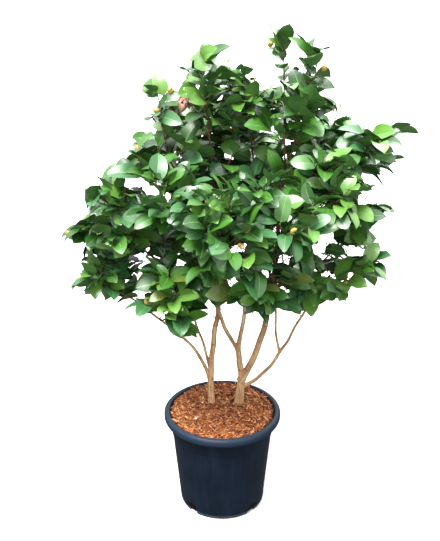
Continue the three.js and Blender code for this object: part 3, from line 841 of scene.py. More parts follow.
def build_bed():
    """The filling under the chips: a turned block that reaches down to the pot's floor."""
    radius = np.linspace(0.004, MULCH_RADIUS, BED_RINGS)[::-1]
    top = np.stack([radius, np.full(BED_RINGS, MULCH_MIDDLE)], -1)
    profile = np.concatenate([[[0.004, MULCH_FLOOR], [CORNER_RADIUS - 0.008, MULCH_FLOOR]], top])
    surface = Surface()
    places = turned_places(profile.T, BED_COLUMNS)
    on_top = places[..., 2] > MULCH_FLOOR + 0.001
    places[..., 2] = np.where(on_top, bed_height(places), places[..., 2])
    rows = len(profile)
    surface.add(places, (grid_faces(rows, BED_COLUMNS), 0), (end_faces(rows, BED_COLUMNS), 0))
    return surface.mesh("mulch_bed")


def bar_places(centres, lengths, widths, thicknesses, yaws, tilts, bends):
    """Four-sided bars of four rings. A point is centre + along * length * u + across * width * v
    + up * (thickness * w - bend * (2 u)^2), with u from -1/2 to 1/2 and narrower towards both ends."""
    u = np.array([-0.5, -0.2, 0.2, 0.5])
    narrow = np.array([0.45, 1.0, 0.9, 0.35])
    v, w = np.array([-0.5, -0.5, 0.5, 0.5]), np.array([-0.5, 0.5, 0.5, -0.5])
    level = np.stack([np.cos(yaws), np.sin(yaws), np.zeros_like(yaws)], -1)
    along = level * np.cos(tilts)[:, None] + UP * np.sin(tilts)[:, None]
    across = np.stack([-np.sin(yaws), np.cos(yaws), np.zeros_like(yaws)], -1)
    up = np.cross(along, across)
    length = u[None, :, None] * lengths[:, None, None]
    width = v[None, None, :] * narrow[None, :, None] * widths[:, None, None]
    rise = w[None, None, :] * narrow[None, :, None] * thicknesses[:, None, None]
    rise = rise - bends[:, None, None] * (2 * u[None, :, None]) ** 2
    places = (centres[:, None, None] + along[:, None, None] * length[..., None]
              + across[:, None, None] * width[..., None] + up[:, None, None] * rise[..., None])
    return places.reshape(len(centres), -1, 3)


def scatter(count, draws, margin):
    """Random places on the bed, even over its area: the radius is the root of an even draw. Places inside
    a stem are moved out to its bark. The margin is kept free along the wall."""
    radius = (MULCH_RADIUS - margin) * np.sqrt(draws.uniform(0, 1, count))
    turn = draws.uniform(0, 2 * np.pi, count)
    places = np.stack([radius * np.cos(turn), radius * np.sin(turn), 0 * turn], -1)
    for name, foot in STEM_FEET.items():
        away = places[:, :2] - np.array(foot[:2])
        distance = np.linalg.norm(away, axis=1, keepdims=True)
        clear = limbs[name]["radii"][0] * 1.3 + 0.004
        places[:, :2] += away / distance * np.maximum(clear - distance, 0)
    places[:, 2] = bed_height(places)
    return places


def add_chips(surface, draws):
    """Flat chips 10 to 44 mm long, most of them short and narrow, each of one of four colours."""
    lengths = 0.010 + 0.034 * draws.beta(1.5, 3.2, CHIP_COUNT)
    widths = 0.0025 + 0.009 * draws.beta(1.3, 2.8, CHIP_COUNT)
    thicknesses = 0.0006 + 0.0022 * draws.uniform(0, 1, CHIP_COUNT)
    tilts = draws.normal(0, 0.34, CHIP_COUNT)
    centres = scatter(CHIP_COUNT, draws, 0.006) + UP * draws.uniform(-0.001, 0.006, (CHIP_COUNT, 1))
    yaws = draws.uniform(0, np.pi, CHIP_COUNT)
    bends = draws.uniform(0, 0.0015, CHIP_COUNT)
    kinds = draws.choice(4, CHIP_COUNT, p=CHIP_SHARES)[:, None]
    places = bar_places(centres, lengths, widths, thicknesses, yaws, tilts, bends)
    surface.add(places, (grid_faces(4, 4), kinds), (end_faces(4, 4), kinds))


def add_fibres(surface, draws):
    """Fibres about 26 mm long and less than a millimetre thick, on top of the chips."""
    spread = draws.uniform(0.7, 1.3, FIBRE_COUNT)
    centres = scatter(FIBRE_COUNT, draws, 0.012) + UP * draws.uniform(0.003, 0.0075, (FIBRE_COUNT, 1))
    yaws = draws.uniform(0, np.pi, FIBRE_COUNT)
    tilts = draws.normal(0, 0.18, FIBRE_COUNT)
    bends = draws.uniform(-0.003, 0.003, FIBRE_COUNT)
    kinds = draws.choice([1, 3], (FIBRE_COUNT, 1))
    places = bar_places(centres, 0.026 * spread, 0.0009 * spread, 0.0008 * spread, yaws, tilts, bends)
    surface.add(places, (grid_faces(4, 4), kinds), (end_faces(4, 4), 1))


def add_crumbs(surface, draws):
    """White crumbs of potting mix, about a centimetre long, at places of their own."""
    centres = np.array([(x, y, 0) for x, y in CRUMBS])
    centres[:, 2] = bed_height(centres) + 0.008
    size = draws.uniform(0.7, 1.3, len(centres))
    yaws = draws.uniform(0, np.pi, len(centres))
    tilts = draws.normal(0, 0.3, len(centres))
    places = bar_places(centres, 0.011 * size, 0.006 * size, 0.004 * size, yaws, tilts, 0 * size)
    surface.add(places, (grid_faces(4, 4), 4), (end_faces(4, 4), 4))


def build_chips(draws):
    surface = Surface()
    for add in (add_chips, add_fibres, add_crumbs):
        add(surface, draws)
    return surface.mesh("mulch_chips")


bed_mesh = build_bed()
chips_mesh = build_chips(np.random.default_rng(5))
print(f"{CHIP_COUNT} chips and {FIBRE_COUNT} fibres")
print(measure(bed_mesh))
print(measure(chips_mesh))

# %% [markdown]
# Fresh bark mulch is a mix of tones rather than one brown, so the chips take one of four colours each, and a
# noise darkens and lightens every one of them. One material with a random value for each chip would need
# an attribute; four materials on the faces say the same in fewer steps.

# %% Mulch colours
def chip_finish(name, dark, light):
    finish = Finish(name, 0.9)
    grain = finish.noise(420, 4, stretch=(1, 1, 2))
    finish.colour(finish.ramp(grain, (0.3, linear(*dark)), (0.7, linear(*light))))
    finish.bump(grain, 0.0008, 0.8)
    return finish.material


CHIP_COLOURS = {
    "chip_rust": ((84, 34, 12), (146, 74, 34)),
    "chip_orange": ((138, 68, 26), (192, 114, 58)),
    "chip_dark": ((44, 17, 5), (96, 43, 16)),
    "chip_tan": ((180, 116, 64), (234, 180, 126)),
    "crumb_white": ((214, 208, 200), (240, 236, 230)),
}
chip_finishes = [chip_finish(name, *tones) for name, tones in CHIP_COLOURS.items()]
add_piece(bed_mesh, [chip_finish("mulch_ground", (38, 17, 8), (80, 38, 18))], ["mulch"])
add_piece(chips_mesh, chip_finishes)
print(f"{len(chip_finishes)} colours of chips and crumbs")

# %% [markdown]
# ## Growth
#
# The crown is 26 masses of foliage. Each has a leader that goes on from a limb to a tip of its own, side
# shoots at the golden angle, and here, finer than in the solid model, a few twigs on each shoot. The rule is
# the same as in the solid model, with the same seeded draws for the shoots: a shoot that would leave its
# mass's own cell, the space that is nearer to its centre than to any other's, or that would touch a limb, is
# tried turned aside and shorter, then skipped. Leaders and shoots that run past the crown's outline are cut
# short at it. Twigs and leaves may reach over into the next cell, as they do where branches mingle.
# Scattering leaves over a hull would be quicker, but they would float with no twig to hold them.

# %% [markdown]
# ### The outline of the crown
#
# A plant is known by its outline and by the patches of sky inside it. Both are stated once, in the upright
# plane through the middle of the pot, as they are seen from where the camera stands. No leaf is placed
# outside the one or over the other. The leaves could be cut away afterwards, but a rule that asks first
# leaves no twig bare and no leaf cut through.

# %% Outline and sky gaps
# The crown's outline from the front. Each row: height, left edge, right edge. Only the tips of single leaves
# stand past it.
OUTLINE = np.array([
    (0.58, -0.13, 0.20), (0.64, -0.27, 0.24), (0.68, -0.30, 0.28), (0.73, -0.38, 0.37),
    (0.76, -0.465, 0.41), (0.80, -0.43, 0.50), (0.84, -0.42, 0.47), (0.87, -0.42, 0.495),
    (0.90, -0.42, 0.455), (0.93, -0.485, 0.45), (0.965, -0.44, 0.445), (1.01, -0.40, 0.52),
    (1.04, -0.40, 0.41), (1.08, -0.39, 0.44), (1.105, -0.38, 0.475), (1.15, -0.29, 0.505),
    (1.18, -0.265, 0.505), (1.225, -0.25, 0.53), (1.24, -0.19, 0.54), (1.265, -0.19, 0.55),
    (1.28, -0.225, 0.53), (1.295, -0.225, 0.50), (1.31, -0.175, 0.42), (1.33, -0.20, 0.36),
    (1.345, -0.235, 0.357), (1.39, -0.235, 0.33), (1.40, -0.17, 0.31), (1.42, -0.14, 0.285),
    (1.47, -0.13, 0.28), (1.50, -0.12, 0.31), (1.55, -0.12, 0.32),
])
# Each row: x, height of the crown's lower edge there.
LOWER_EDGE = np.array([
    (-0.50, 0.76), (-0.467, 0.745), (-0.38, 0.705), (-0.32, 0.675), (-0.29, 0.645), (-0.27, 0.625),
    (-0.25, 0.66), (-0.16, 0.655), (-0.14, 0.60), (-0.11, 0.565), (-0.08, 0.575), (-0.06, 0.66),
    (-0.05, 0.69), (0.05, 0.71), (0.10, 0.66), (0.13, 0.635), (0.16, 0.68), (0.21, 0.68), (0.24, 0.65),
    (0.27, 0.67), (0.33, 0.71), (0.39, 0.735), (0.43, 0.77), (0.50, 0.795),
])
# Each row: x, height of the crown's upper edge there.
UPPER_EDGE = np.array([
    (-0.30, 1.28), (-0.24, 1.405), (-0.155, 1.405), (-0.15, 1.33), (-0.135, 1.33), (-0.125, 1.43),
    (-0.08, 1.47), (-0.04, 1.495), (0.005, 1.50), (0.015, 1.42), (0.03, 1.41), (0.04, 1.435),
    (0.08, 1.435), (0.09, 1.37), (0.125, 1.37), (0.132, 1.55), (0.29, 1.55), (0.33, 1.38), (0.355, 1.35),
    (0.36, 1.265), (0.46, 1.25), (0.50, 1.285), (0.56, 1.285),
])
# Each row: x, height, radius of a gap through which sky shows.
SKY_GAPS = np.array([
    (0.00, 1.44, 0.02), (0.11, 1.41, 0.02), (0.19, 1.47, 0.015), (-0.15, 1.36, 0.015),
    (-0.20, 1.32, 0.02), (0.35, 1.31, 0.02), (0.31, 1.28, 0.02), (-0.25, 1.09, 0.02), (-0.21, 1.06, 0.02),
    (-0.16, 1.04, 0.015), (-0.04, 1.06, 0.01), (0.40, 1.03, 0.02), (0.20, 1.03, 0.015),
    (0.29, 1.01, 0.015), (0.19, 0.98, 0.015), (0.16, 0.94, 0.015), (0.31, 0.91, 0.02),
    (0.22, 0.90, 0.015), (0.29, 0.88, 0.02), (0.05, 0.88, 0.025), (0.18, 0.84, 0.02), (0.27, 0.80, 0.015),
    (0.13, 0.80, 0.015), (0.39, 0.79, 0.015), (0.03, 0.77, 0.02), (0.19, 0.75, 0.015),
    (-0.25, 0.74, 0.015),
])
EDGE_ROOM = {"tip": 0.03, "twig": 0.025, "bud": 0.02, "leaf": 0.012}  # from each to the crown's edge
UNDER_ROOM = 0.03  # how far leaves may hang under the lower edge at the back


def seen(places):
    """Where the line from the camera to a place meets the upright plane through the pot's middle, as x and
    height: camera + (place - camera) * (camera y) / (camera y - place y)."""
    camera = np.array(CAMERA_PLACE)
    share = camera[1] / (camera[1] - places[..., 1:2])
    met = camera + (places - camera) * share
    return met[..., 0], met[..., 2]


def in_outline(places, room=0.0):
    """True for places inside the crown's outline, with some room to its edge, and between the front and the
    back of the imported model. At the back, where the view from above would not show it, none hangs far under
    the lower edge either."""
    x, height = seen(places)
    left = np.interp(height, OUTLINE[:, 0], OUTLINE[:, 1]) + room
    right = np.interp(height, OUTLINE[:, 0], OUTLINE[:, 2]) - room
    low = np.interp(x, LOWER_EDGE[:, 0], LOWER_EDGE[:, 1]) + room
    high = np.interp(x, UPPER_EDGE[:, 0], UPPER_EDGE[:, 1]) - room
    inside = (places[..., 1] > cad_box[0][1]) & (places[..., 1] < cad_box[1][1])
    inside = inside & (places[..., 2] > low - UNDER_ROOM)
    return inside & (x > left) & (x < right) & (height > low) & (height < high)


def in_sky_gap(places):
    """True for places in front of or behind one of the gaps through which sky shows."""
    x, height = seen(places)
    distance = np.hypot(x[..., None] - SKY_GAPS[:, 0], height[..., None] - SKY_GAPS[:, 1])
    return (distance < SKY_GAPS[:, 2]).any(-1)


print(f"{len(OUTLINE)} heights of the outline, {len(SKY_GAPS)} sky gaps")

# %% [markdown]
# ### The masses of foliage
#
# A bough divides into leafy masses with gaps between them, and those masses give the crown its depth. The
# rows below are the same as in the solid model. They could be drawn at random, but where the boughs end and
# where the crown bulges is what makes this plant this one.

# %% Mass table
# Each row: name, limb, share of the limb's length, tip, reach of its shoots, shoots, shoots with flower buds.
MASSES = [
    ("top_sprig", "bough_right", 1, (0.168, 0.02, 1.45), 0.08, 2, 1),
    ("top_right", "bough_right", 0.9, (0.232, -0.02, 1.44), 0.13, 4, 1),
    ("top_shoulder", "bough_right", 0.78, (0.315, 0.025, 1.27), 0.14, 5, 0),
    ("top_centre", "bough_inner", 1, (0.06, 0.05, 1.37), 0.15, 6, 1),
    ("top_left", "stem_left", 1, (-0.051, 0.02, 1.4), 0.13, 5, 1),
    ("upper_left_tip", "bough_upper_left", 1, (-0.176, 0, 1.325), 0.095, 4, 2),
    ("upper_left", "bough_upper_left", 0.75, (-0.25, -0.04, 1.165), 0.115, 4, 1),
    ("left", "bough_left", 0.7, (-0.3, -0.07, 1.05), 0.13, 5, 0),
    ("far_left", "bough_left", 1, (-0.372, 0, 0.945), 0.125, 5, 2),
    ("low_left", "bough_low_left", 1, (-0.358, -0.02, 0.79), 0.13, 6, 1),
    ("low_left_front", "bough_low_left", 0.75, (-0.14, -0.19, 0.81), 0.125, 5, 1),
    ("front_left", "bough_cross", 1, (-0.14, -0.18, 1.08), 0.14, 5, 1),
    ("front_centre", "bough_front", 1, (0, -0.31, 1.04), 0.14, 5, 1),
    ("front_low", "bough_front_right", 0.8, (0.045, -0.26, 0.83), 0.13, 5, 0),
    ("front_right", "bough_front_right", 1, (0.15, -0.265, 1.06), 0.14, 5, 2),
    ("right_centre", "bough_shoulder", 0.45, (0.29, -0.19, 1.13), 0.13, 5, 0),
    ("far_right", "bough_shoulder", 1, (0.395, -0.05, 1.215), 0.115, 6, 0),
    ("right_side", "bough_right_side", 0.75, (0.415, 0.07, 1), 0.125, 5, 1),
    ("right_low", "bough_right_side", 1, (0.405, -0.075, 0.85), 0.115, 4, 0),
    ("low_right", "bough_low_right", 1, (0.3, -0.095, 0.79), 0.125, 5, 1),
    ("low_centre", "bough_low_back", 1, (0.18, 0.19, 0.86), 0.13, 5, 0),
    ("back_top", "bough_inner", 0.85, (0.04, 0.24, 1.17), 0.145, 5, 1),
    ("back_left", "bough_back_left", 1, (-0.185, 0.27, 1.11), 0.145, 5, 0),
    ("back_left_low", "bough_mid_left", 1, (-0.2, 0.25, 0.84), 0.15, 5, 1),
    ("back_right", "bough_back_right", 1, (0.33, 0.245, 1.09), 0.145, 5, 1),
    ("back_low", "bough_back", 1, (0.05, 0.37, 0.95), 0.15, 5, 0),
]
CENTRE_SHARE = 0.78 * 0.92  # where a mass has its centre, along a leader that is longer than the solid one
CELL_GAP = 0.003  # between two neighbouring cells
SAG = {"tip": 0.05, "side": 0.2}  # how low a leader hangs under its chord, as a share of the chord
BEAD_STEP = 0.009  # beads stand along a limb so close, and a shoot or leaf that touches one is moved
LIMB_ROOM = {"shoot": 0.0147, "leaf": 0.006}  # from a limb's bead to a shoot and to a leaf
LEADER_EXTENSION = 0.028  # how far a leader runs on past its tip in the solid model, where its leaves begin
BEAD_RADII = (0.005, 0.005)  # of a leader, with the room that its own leaves need
LEADER_RADII = (0.0030, 0.0013)
SHOOT_RADII = (0.0018, 0.0010)
TWIG_RADII = (0.0015, 0.0010)


def seeded_draws(seed):
    """A Lehmer generator: each state is the last one times 48271, modulo 2^31 - 1."""
    state = seed

    def draw():
        nonlocal state
        state = state * 48271 % 2147483647
        return state / 2147483647

    return draw


def bowed(start, middle, end):
    """A quadratic curve: the weights of its three points are (1-s)^2, 2s(1-s) and s^2."""
    start, middle, end = (np.array(point, float) for point in (start, middle, end))

    def path(shares):
        s = np.asarray(shares, float)[..., None]
        return (1 - s) ** 2 * start + 2 * s * (1 - s) * middle + s ** 2 * end

    return path


def trimmed(whole):
    """The path cut short so that its end is inside the crown's outline, but not below half its length."""
    shares = np.linspace(0.5, 1, 26)
    part = shares[in_outline(whole(shares), EDGE_ROOM["tip"])].max(initial=0.5)

    def path(share):
        return whole(np.asarray(share) * part)

    return path


def leader_of(row):
    """The leader of one mass: a sagging path from its limb, cut short at the crown's outline."""
    name, limb, at, tip, reach, shoots, buds = row
    foot = limbs[limb]["path"](float(at))
    tip = np.array(tip)
    tip = tip + unit(tip - foot) * LEADER_EXTENSION
    sag = SAG["tip" if at == 1 else "side"] * np.linalg.norm(tip - foot)
    path = trimmed(bowed(foot, (foot + tip) / 2 - UP * sag, tip))
    centre = path(CENTRE_SHARE)
    return {"name": name, "path": path, "centre": centre, "reach": reach, "shoots": shoots, "buds": buds}


def beads(path, radii):
    """Places along a path with the radius there, as rows of (x, y, z, radius)."""
    share = np.linspace(0, 1, int(path_length(path) / BEAD_STEP) + 2)
    radius = radii[0] + (radii[1] - radii[0]) * share
    return np.concatenate([path(share), radius[:, None]], axis=1)


leaders = [leader_of(row) for row in MASSES]
centres = np.array([leader["centre"] for leader in leaders])
limb_beads = np.concatenate([beads(limb["path"], limb["radii"]) for limb in limbs.values()])
leader_beads = [beads(leader["path"], BEAD_RADII) for leader in leaders]
print(f"{len(leaders)} masses, {len(limb_beads)} beads on the limbs")

# %% [markdown]
# ### Shoots and twigs
#
# A camellia's shoots stand round their branch at the golden angle, lift towards the light and bow a little
# under their leaves. Each is a quadratic curve, and a twig on it is a shorter one by the same function. The
# sprigs at the top and at the sides stand free: they have fewer twigs, longer bare stretches and larger end
# tufts. A subdivided skeleton with a Skin modifier would make such a tree too, but its thickness and its
# number of faces are harder to keep in hand.

# %% Shoots and twigs
SHOOT = {"first": 0.3, "span": 0.62, "angle": 0.95, "lift": 0.3, "taper": 0.4, "bow": 0.04}
SHOOT_TRIES = [(turn, part) for part in (1, 0.75, 0.5) for turn in (0, 0.8, -0.8)]
# Sprigs that stand free of the crown: twigs on each shoot, bare share of the leader, leaves in its end tuft.
OPEN_SPRIGS = {
    "top_sprig": (0, 0.7, 6), "top_right": (3, 0.3, 5), "top_left": (1, 0.5, 5), "far_right": (1, 0.5, 5),
    "far_left": (2, 0.4, 5), "upper_left": (2, 0.5, 4), "upper_left_tip": (1, 0.6, 4),
}
CLOSE_GROWTH = (5, 0.2, 3)  # the same three for every other mass
LOW_TWIGS = {"top_sprig": 5}  # leafy twigs on the lower half of a leader that is bare further up
TWIG = {"first": 0.25, "span": 0.55, "angle": 0.85, "length": 0.6}  # length: share of its shoot's
SPUR = {"step": 0.03, "from_height": 0.62, "angle": 0.95, "length": 0.1}
NEIGHBOURHOOD = 0.4  # obstacles further from a mass's centre than this are left out


def in_cell(places, own):
    """True if all places are nearer to the mass's own centre than to any other's, less half the gap."""
    outward = np.delete(centres, own, axis=0) - centres[own]
    distance = np.linalg.norm(outward, axis=1)
    depth = (np.atleast_2d(places) - centres[own]) @ (outward / distance[:, None]).T
    return bool((depth < distance / 2 - CELL_GAP / 2).all())


def axes_at(path, share):
    """Along, across and beyond at one place on a path, by the rule for sections."""
    near = path(np.array([max(share - 1e-3, 0), min(share + 1e-3, 1)]))
    chord = np.abs(path(1.0) - path(0.0))
    along = unit(near[1] - near[0])
    reference = np.array([1.0, 0, 0]) if chord[0] < chord[1] else np.array([0, 1.0, 0])
    across = unit(reference - along * (reference @ along))
    return along, across, np.cross(across, along)


def offshoot(path, share, angle, azimuth):
    """A direction at an angle to the path's own, turned about it by an azimuth."""
    along, across, beyond = axes_at(path, share)
    side = across * math.cos(azimuth) + beyond * math.sin(azimuth)
    return along * math.cos(angle) + side * math.sin(angle)


def side_path(path, share, angle, azimuth, length):
    """A nearly straight shoot from a share of the path, lifted towards the light and bowed a little under
    its own weight."""
    foot = path(share)
    direction = unit(offshoot(path, share, angle, azimuth) + UP * SHOOT["lift"])
    tip = foot + direction * length
    return bowed(foot, (foot + tip) / 2 - UP * SHOOT["bow"] * length, tip)


def stays_clear(path, own, obstacles):
    """True if six places on the path are in the mass's own cell and touch no limb and no other leader."""
    places = path(np.linspace(0, 1, 6))
    if not in_cell(places, own):
        return False
    distance = np.linalg.norm(places[:, None] - obstacles[None, :, :3], axis=2)
    return bool((distance > obstacles[:, 3] + LIMB_ROOM["shoot"]).all())


def grow_shoots(own, obstacles, draw):
    """The leader's side shoots, with the same draws as in the solid model."""
    leader = leaders[own]
    grown = []
    for k in range(leader["shoots"]):
        share = SHOOT["first"] + SHOOT["span"] * (k + draw()) / leader["shoots"]
        azimuth = k * GOLDEN_ANGLE + draw()
        length = leader["reach"] * (1 - SHOOT["taper"] * share) * (0.85 + 0.3 * draw())
        for turn, part in SHOOT_TRIES:
            path = side_path(leader["path"], share, SHOOT["angle"], azimuth + turn, length * part)
            if stays_clear(path, own, obstacles):
                grown.append(trimmed(path))
                break
    return grown


def grow_twigs(shoot, name, draw):
    """Finer twigs on one shoot, on alternate sides of it."""
    length = path_length(shoot) * TWIG["length"]
    azimuth = draw() * 2 * math.pi
    count = OPEN_SPRIGS.get(name, CLOSE_GROWTH)[0]
    grown = []
    for k in range(count):
        share = TWIG["first"] + TWIG["span"] * (k + draw()) / count
        turn = azimuth + k * math.pi + draw()
        path = side_path(shoot, share, TWIG["angle"], turn, length * (0.8 + 0.4 * draw()))
        if in_outline(path(1.0), EDGE_ROOM["twig"]):
            grown.append(path)
    return grown


def grow_low_twigs(leader, count, draw):
    """Short twigs round the lower half of a leader, at the golden angle."""
    for k in range(count):
        share = 0.05 + 0.5 * (k + draw()) / count
        length = SPUR["length"] * (0.7 + 0.4 * draw())
        yield side_path(leader["path"], share, SPUR["angle"], k * GOLDEN_ANGLE, length)


def twig_of(path, radii, bare, tuft, parent=None):
    """A twig: its path and end radii, the share of it that is bare of leaves, the leaves in its end tuft,
    and the number of the twig of the same mass that it stands on."""
    return {"path": path, "radii": radii, "bare": bare, "tuft": tuft, "parent": parent}


def obstacles_near(own):
    """The beads of all limbs and of the other masses' leaders that stand near a mass."""
    others = [row for i, row in enumerate(leader_beads) if i != own]
    obstacles = np.concatenate([limb_beads, *others])
    distance = np.linalg.norm(obstacles[:, :3] - centres[own], axis=1)
    return obstacles[distance < NEIGHBOURHOOD]


def grow_mass(own):
    """All twigs of one mass: the leader, its shoots, and the twigs on them."""
    draw = seeded_draws(own + 1)
    obstacles = obstacles_near(own)
    shoots = grow_shoots(own, obstacles, draw)
    name = leaders[own]["name"]
    _, bare, tuft = OPEN_SPRIGS.get(name, CLOSE_GROWTH)
    twigs = [twig_of(leaders[own]["path"], LEADER_RADII, bare, tuft)]
    twigs += [twig_of(shoot, SHOOT_RADII, 0.2, 3, 0) for shoot in shoots]
    for number, shoot in enumerate(shoots, start=1):
        twigs += [twig_of(twig, TWIG_RADII, 0.15, 2, number) for twig in grow_twigs(shoot, name, draw)]
    low = grow_low_twigs(leaders[own], LOW_TWIGS.get(name, 0), draw)
    twigs += [twig_of(path, TWIG_RADII, 0.2, 3, 0) for path in low]
    return {"twigs": twigs, "shoots": shoots, "obstacles": obstacles, "draw": draw}


def grow_spurs(limb, draw):
    """Short side twigs on a limb inside the crown. Each belongs to the mass whose centre is nearest to it."""
    for k in range(int(limb["length"] / SPUR["step"])):
        share = (k + draw()) * SPUR["step"] / limb["length"]
        azimuth = k * GOLDEN_ANGLE + draw()
        length = SPUR["length"] * (0.7 + 0.6 * draw())
        if share > 1 or limb["path"](share)[2] < SPUR["from_height"]:
            continue
        path = side_path(limb["path"], share, SPUR["angle"], azimuth, length)
        own = int(np.linalg.norm(centres - path(0.8), axis=1).argmin())
        if in_outline(path(1.0), EDGE_ROOM["twig"]):
            crown[own]["twigs"].append(twig_of(path, SHOOT_RADII, 0.25, 3))


crown = [grow_mass(own) for own in range(len(leaders))]
for number, limb in enumerate(limbs.values()):
    grow_spurs(limb, seeded_draws(101 + number))
print(f"{sum(len(mass['twigs']) for mass in crown)} twigs")

# %% [markdown]
# ### Where the leaves stand
#
# Leaves stand along the outer part of each twig at the golden angle, with a tuft at its tip, and each one
# turns its face up to the light. Older leaves, further from the tip, hang lower. A leaf that would leave the
# crown's outline, cover a sky gap, cross a limb or lie on top of another leaf is turned aside, and skipped if
# no place is free. Particles or instances would be lighter, but the export keeps only real meshes, and they
# could not ask whether a place is free.

# %% Leaf places
LEAF = {"length": 0.070, "width": 0.042, "petiole": 0.008, "fold": 0.004, "droop": 0.009}
LEAF_REACH = LEAF["length"] + LEAF["petiole"]
LEAF_MIDDLE = 0.55 * LEAF_REACH  # from its foot
LEAFING = {"step": 0.018, "angle": 1.0, "tuft_angle": 0.8, "tuft_gap": 0.005, "roll": 1.0}
LEAF_SIZES = {"least": 0.60, "span": 0.58}
OLD_DIP = 0.3  # how far the oldest leaves of a twig hang
RISE = {"tuft": 0.6, "old": 0.4}  # how much of its twig's upward turn a leaf keeps; the rest is laid level
CROWN_CORE = np.array([0.0, 0.0, 0.85])
OUTWARD = {"along": 0.3, "facing": 0.12}  # how far leaves point and look away from the crown's core
ASIDES = (0, 1.1, -1.1, 2.3, -2.3)
OPEN_LEAF_SIZE = 1.12  # leaves on free sprigs are a little larger
LEAF_SPACING = 0.0235  # between the middles of two leaves
# Marks on a leaf that keep off the sky gaps: both sides, three down the midrib, and the tip. The three on the
# midrib also stay inside the crown's outline.
LEAF_MARKS = np.array([
    (LEAF["width"] / 2, LEAF_REACH * 0.5, LEAF["fold"]), (-LEAF["width"] / 2, LEAF_REACH * 0.5, LEAF["fold"]),
    (0, LEAF_REACH * 0.2, 0), (0, LEAF_REACH * 0.5, 0), (0, LEAF_REACH * 0.8, 0),
    (0, LEAF_REACH, -LEAF["droop"]),
])
ON_MIDRIB = slice(2, 5)


def leaf_stations(twig, draw):
    """Stations along the outer part of a twig, then a tuft at its tip."""
    length = path_length(twig["path"])
    leafy = length * (1 - twig["bare"])
    count = max(1, int(leafy / LEAFING["step"]))
    turn = draw() * 2 * math.pi
    for i in range(count + twig["tuft"]):
        before_tip = max(0, (count - i) / count)
        to_tip = before_tip * leafy + LEAFING["tuft_gap"] * (1 + i % twig["tuft"])
        angle = LEAFING["angle"] if before_tip else LEAFING["tuft_angle"]
        yield {
            "share": max(0, 1 - to_tip / length),
            "angle": angle * (0.8 + 0.4 * draw()),
            "azimuth": turn + i * GOLDEN_ANGLE + 0.8 * (draw() - 0.5),
            "dip": OLD_DIP * before_tip * draw(),
            "rise": RISE["old"] if before_tip else RISE["tuft"],
            "roll": LEAFING["roll"] * (2 * draw() - 1),
            "size": LEAF_SIZES["least"] + LEAF_SIZES["span"] * draw(),
        }


def leaf_frame(path, station, aside):
    """A leaf's foot and its own axes: across it, along its midrib, and the way its face looks."""
    along = offshoot(path, station["share"], station["angle"], station["azimuth"] + aside)
    foot = path(station["share"])
    outward = unit(foot - CROWN_CORE)
    level = along * [1, 1, station["rise"]]
    along = unit(level - UP * station["dip"] + outward * OUTWARD["along"])
    light = UP + outward * OUTWARD["facing"]
    facing = unit(light - along * (light @ along))
    across = np.cross(along, facing)
    cos, sin = math.cos(station["roll"]), math.sin(station["roll"])
    axes = np.stack([across * cos - facing * sin, along, facing * cos + across * sin])
    return foot, axes * station["size"]


def leaf_fits(foot, axes, obstacles, middles):
    """The leaf stays inside the crown and off the sky gaps, no limb's bead is in the box round it, and no
    other leaf's middle is too near its own."""
    marks = foot + LEAF_MARKS @ axes
    if not in_outline(marks[ON_MIDRIB], EDGE_ROOM["leaf"]).all() or in_sky_gap(marks).any():
        return False
    middle = foot + axes[1] * LEAF_MIDDLE
    if len(middles) and np.linalg.norm(np.array(middles) - middle, axis=1).min() < LEAF_SPACING:
        return False
    size = np.linalg.norm(axes[0])
    offset = (obstacles[:, :3] - foot) @ axes.T / size
    margin = obstacles[:, 3] + LIMB_ROOM["leaf"]
    beside = np.abs(offset[:, 0]) > LEAF["width"] / 2 * size + margin
    past = (offset[:, 1] < -margin) | (offset[:, 1] > LEAF_REACH * size + margin)
    return bool((beside | past | (np.abs(offset[:, 2]) > LEAF["droop"] + margin)).all())


def dress_mass(own, middles):
    """The leaves of one mass: feet, axes, and the number of the spray that each belongs to. The middles of
    all leaves so far are added to as they find their places."""
    mass = crown[own]
    feet, axes, sprays = [], [], []
    size = OPEN_LEAF_SIZE if leaders[own]["name"] in OPEN_SPRIGS else 1
    for spray, twig in enumerate(mass["twigs"]):
        for station in leaf_stations(twig, mass["draw"]):
            station["size"] *= size
            tries = (leaf_frame(twig["path"], station, aside) for aside in ASIDES)
            found = next((t for t in tries if leaf_fits(*t, mass["obstacles"], middles)), None)
            if found:
                feet.append(found[0])
                axes.append(found[1])
                sprays.append(spray)
                middles.append(found[0] + found[1][1] * LEAF_MIDDLE)
    return {"feet": np.array(feet), "axes": np.array(axes), "sprays": np.array(sprays)}


def prune(own):
    """Marks the twigs of a mass that carry at least two leaves, or carry a twig that does. The others are
    left out."""
    twigs = crown[own]["twigs"]
    leafy = np.bincount(leaves[own]["sprays"], minlength=len(twigs))
    for number in reversed(range(len(twigs))):
        twigs[number]["kept"] = twigs[number].get("kept", False) or bool(leafy[number] >= 2)
        if twigs[number]["kept"] and twigs[number]["parent"] is not None:
            twigs[twigs[number]["parent"]]["kept"] = True


middles = []
leaves = [dress_mass(own, middles) for own in range(len(leaders))]
for own in range(len(leaders)):
    prune(own)
print(f"{sum(len(group['feet']) for group in leaves)} leaves")

# %% [markdown]
# ### The shape of a leaf
#
# A camellia leaf is leathery and broad, with a drawn-out tip that curls down, a groove along the midrib and
# sides that rise from it. It could be modelled once and copied by an array. Here it is a profile carried
# along the midrib, with five points round each section. They make three strips on top, of which the middle
# one is the paler midrib, and two below. Eleven sections make 52 faces, few enough for thousands of leaves.
# The first two sections are the leaf's stalk. Eight forms with other folds, curls and widths keep the leaves
# from looking cast in one mould.

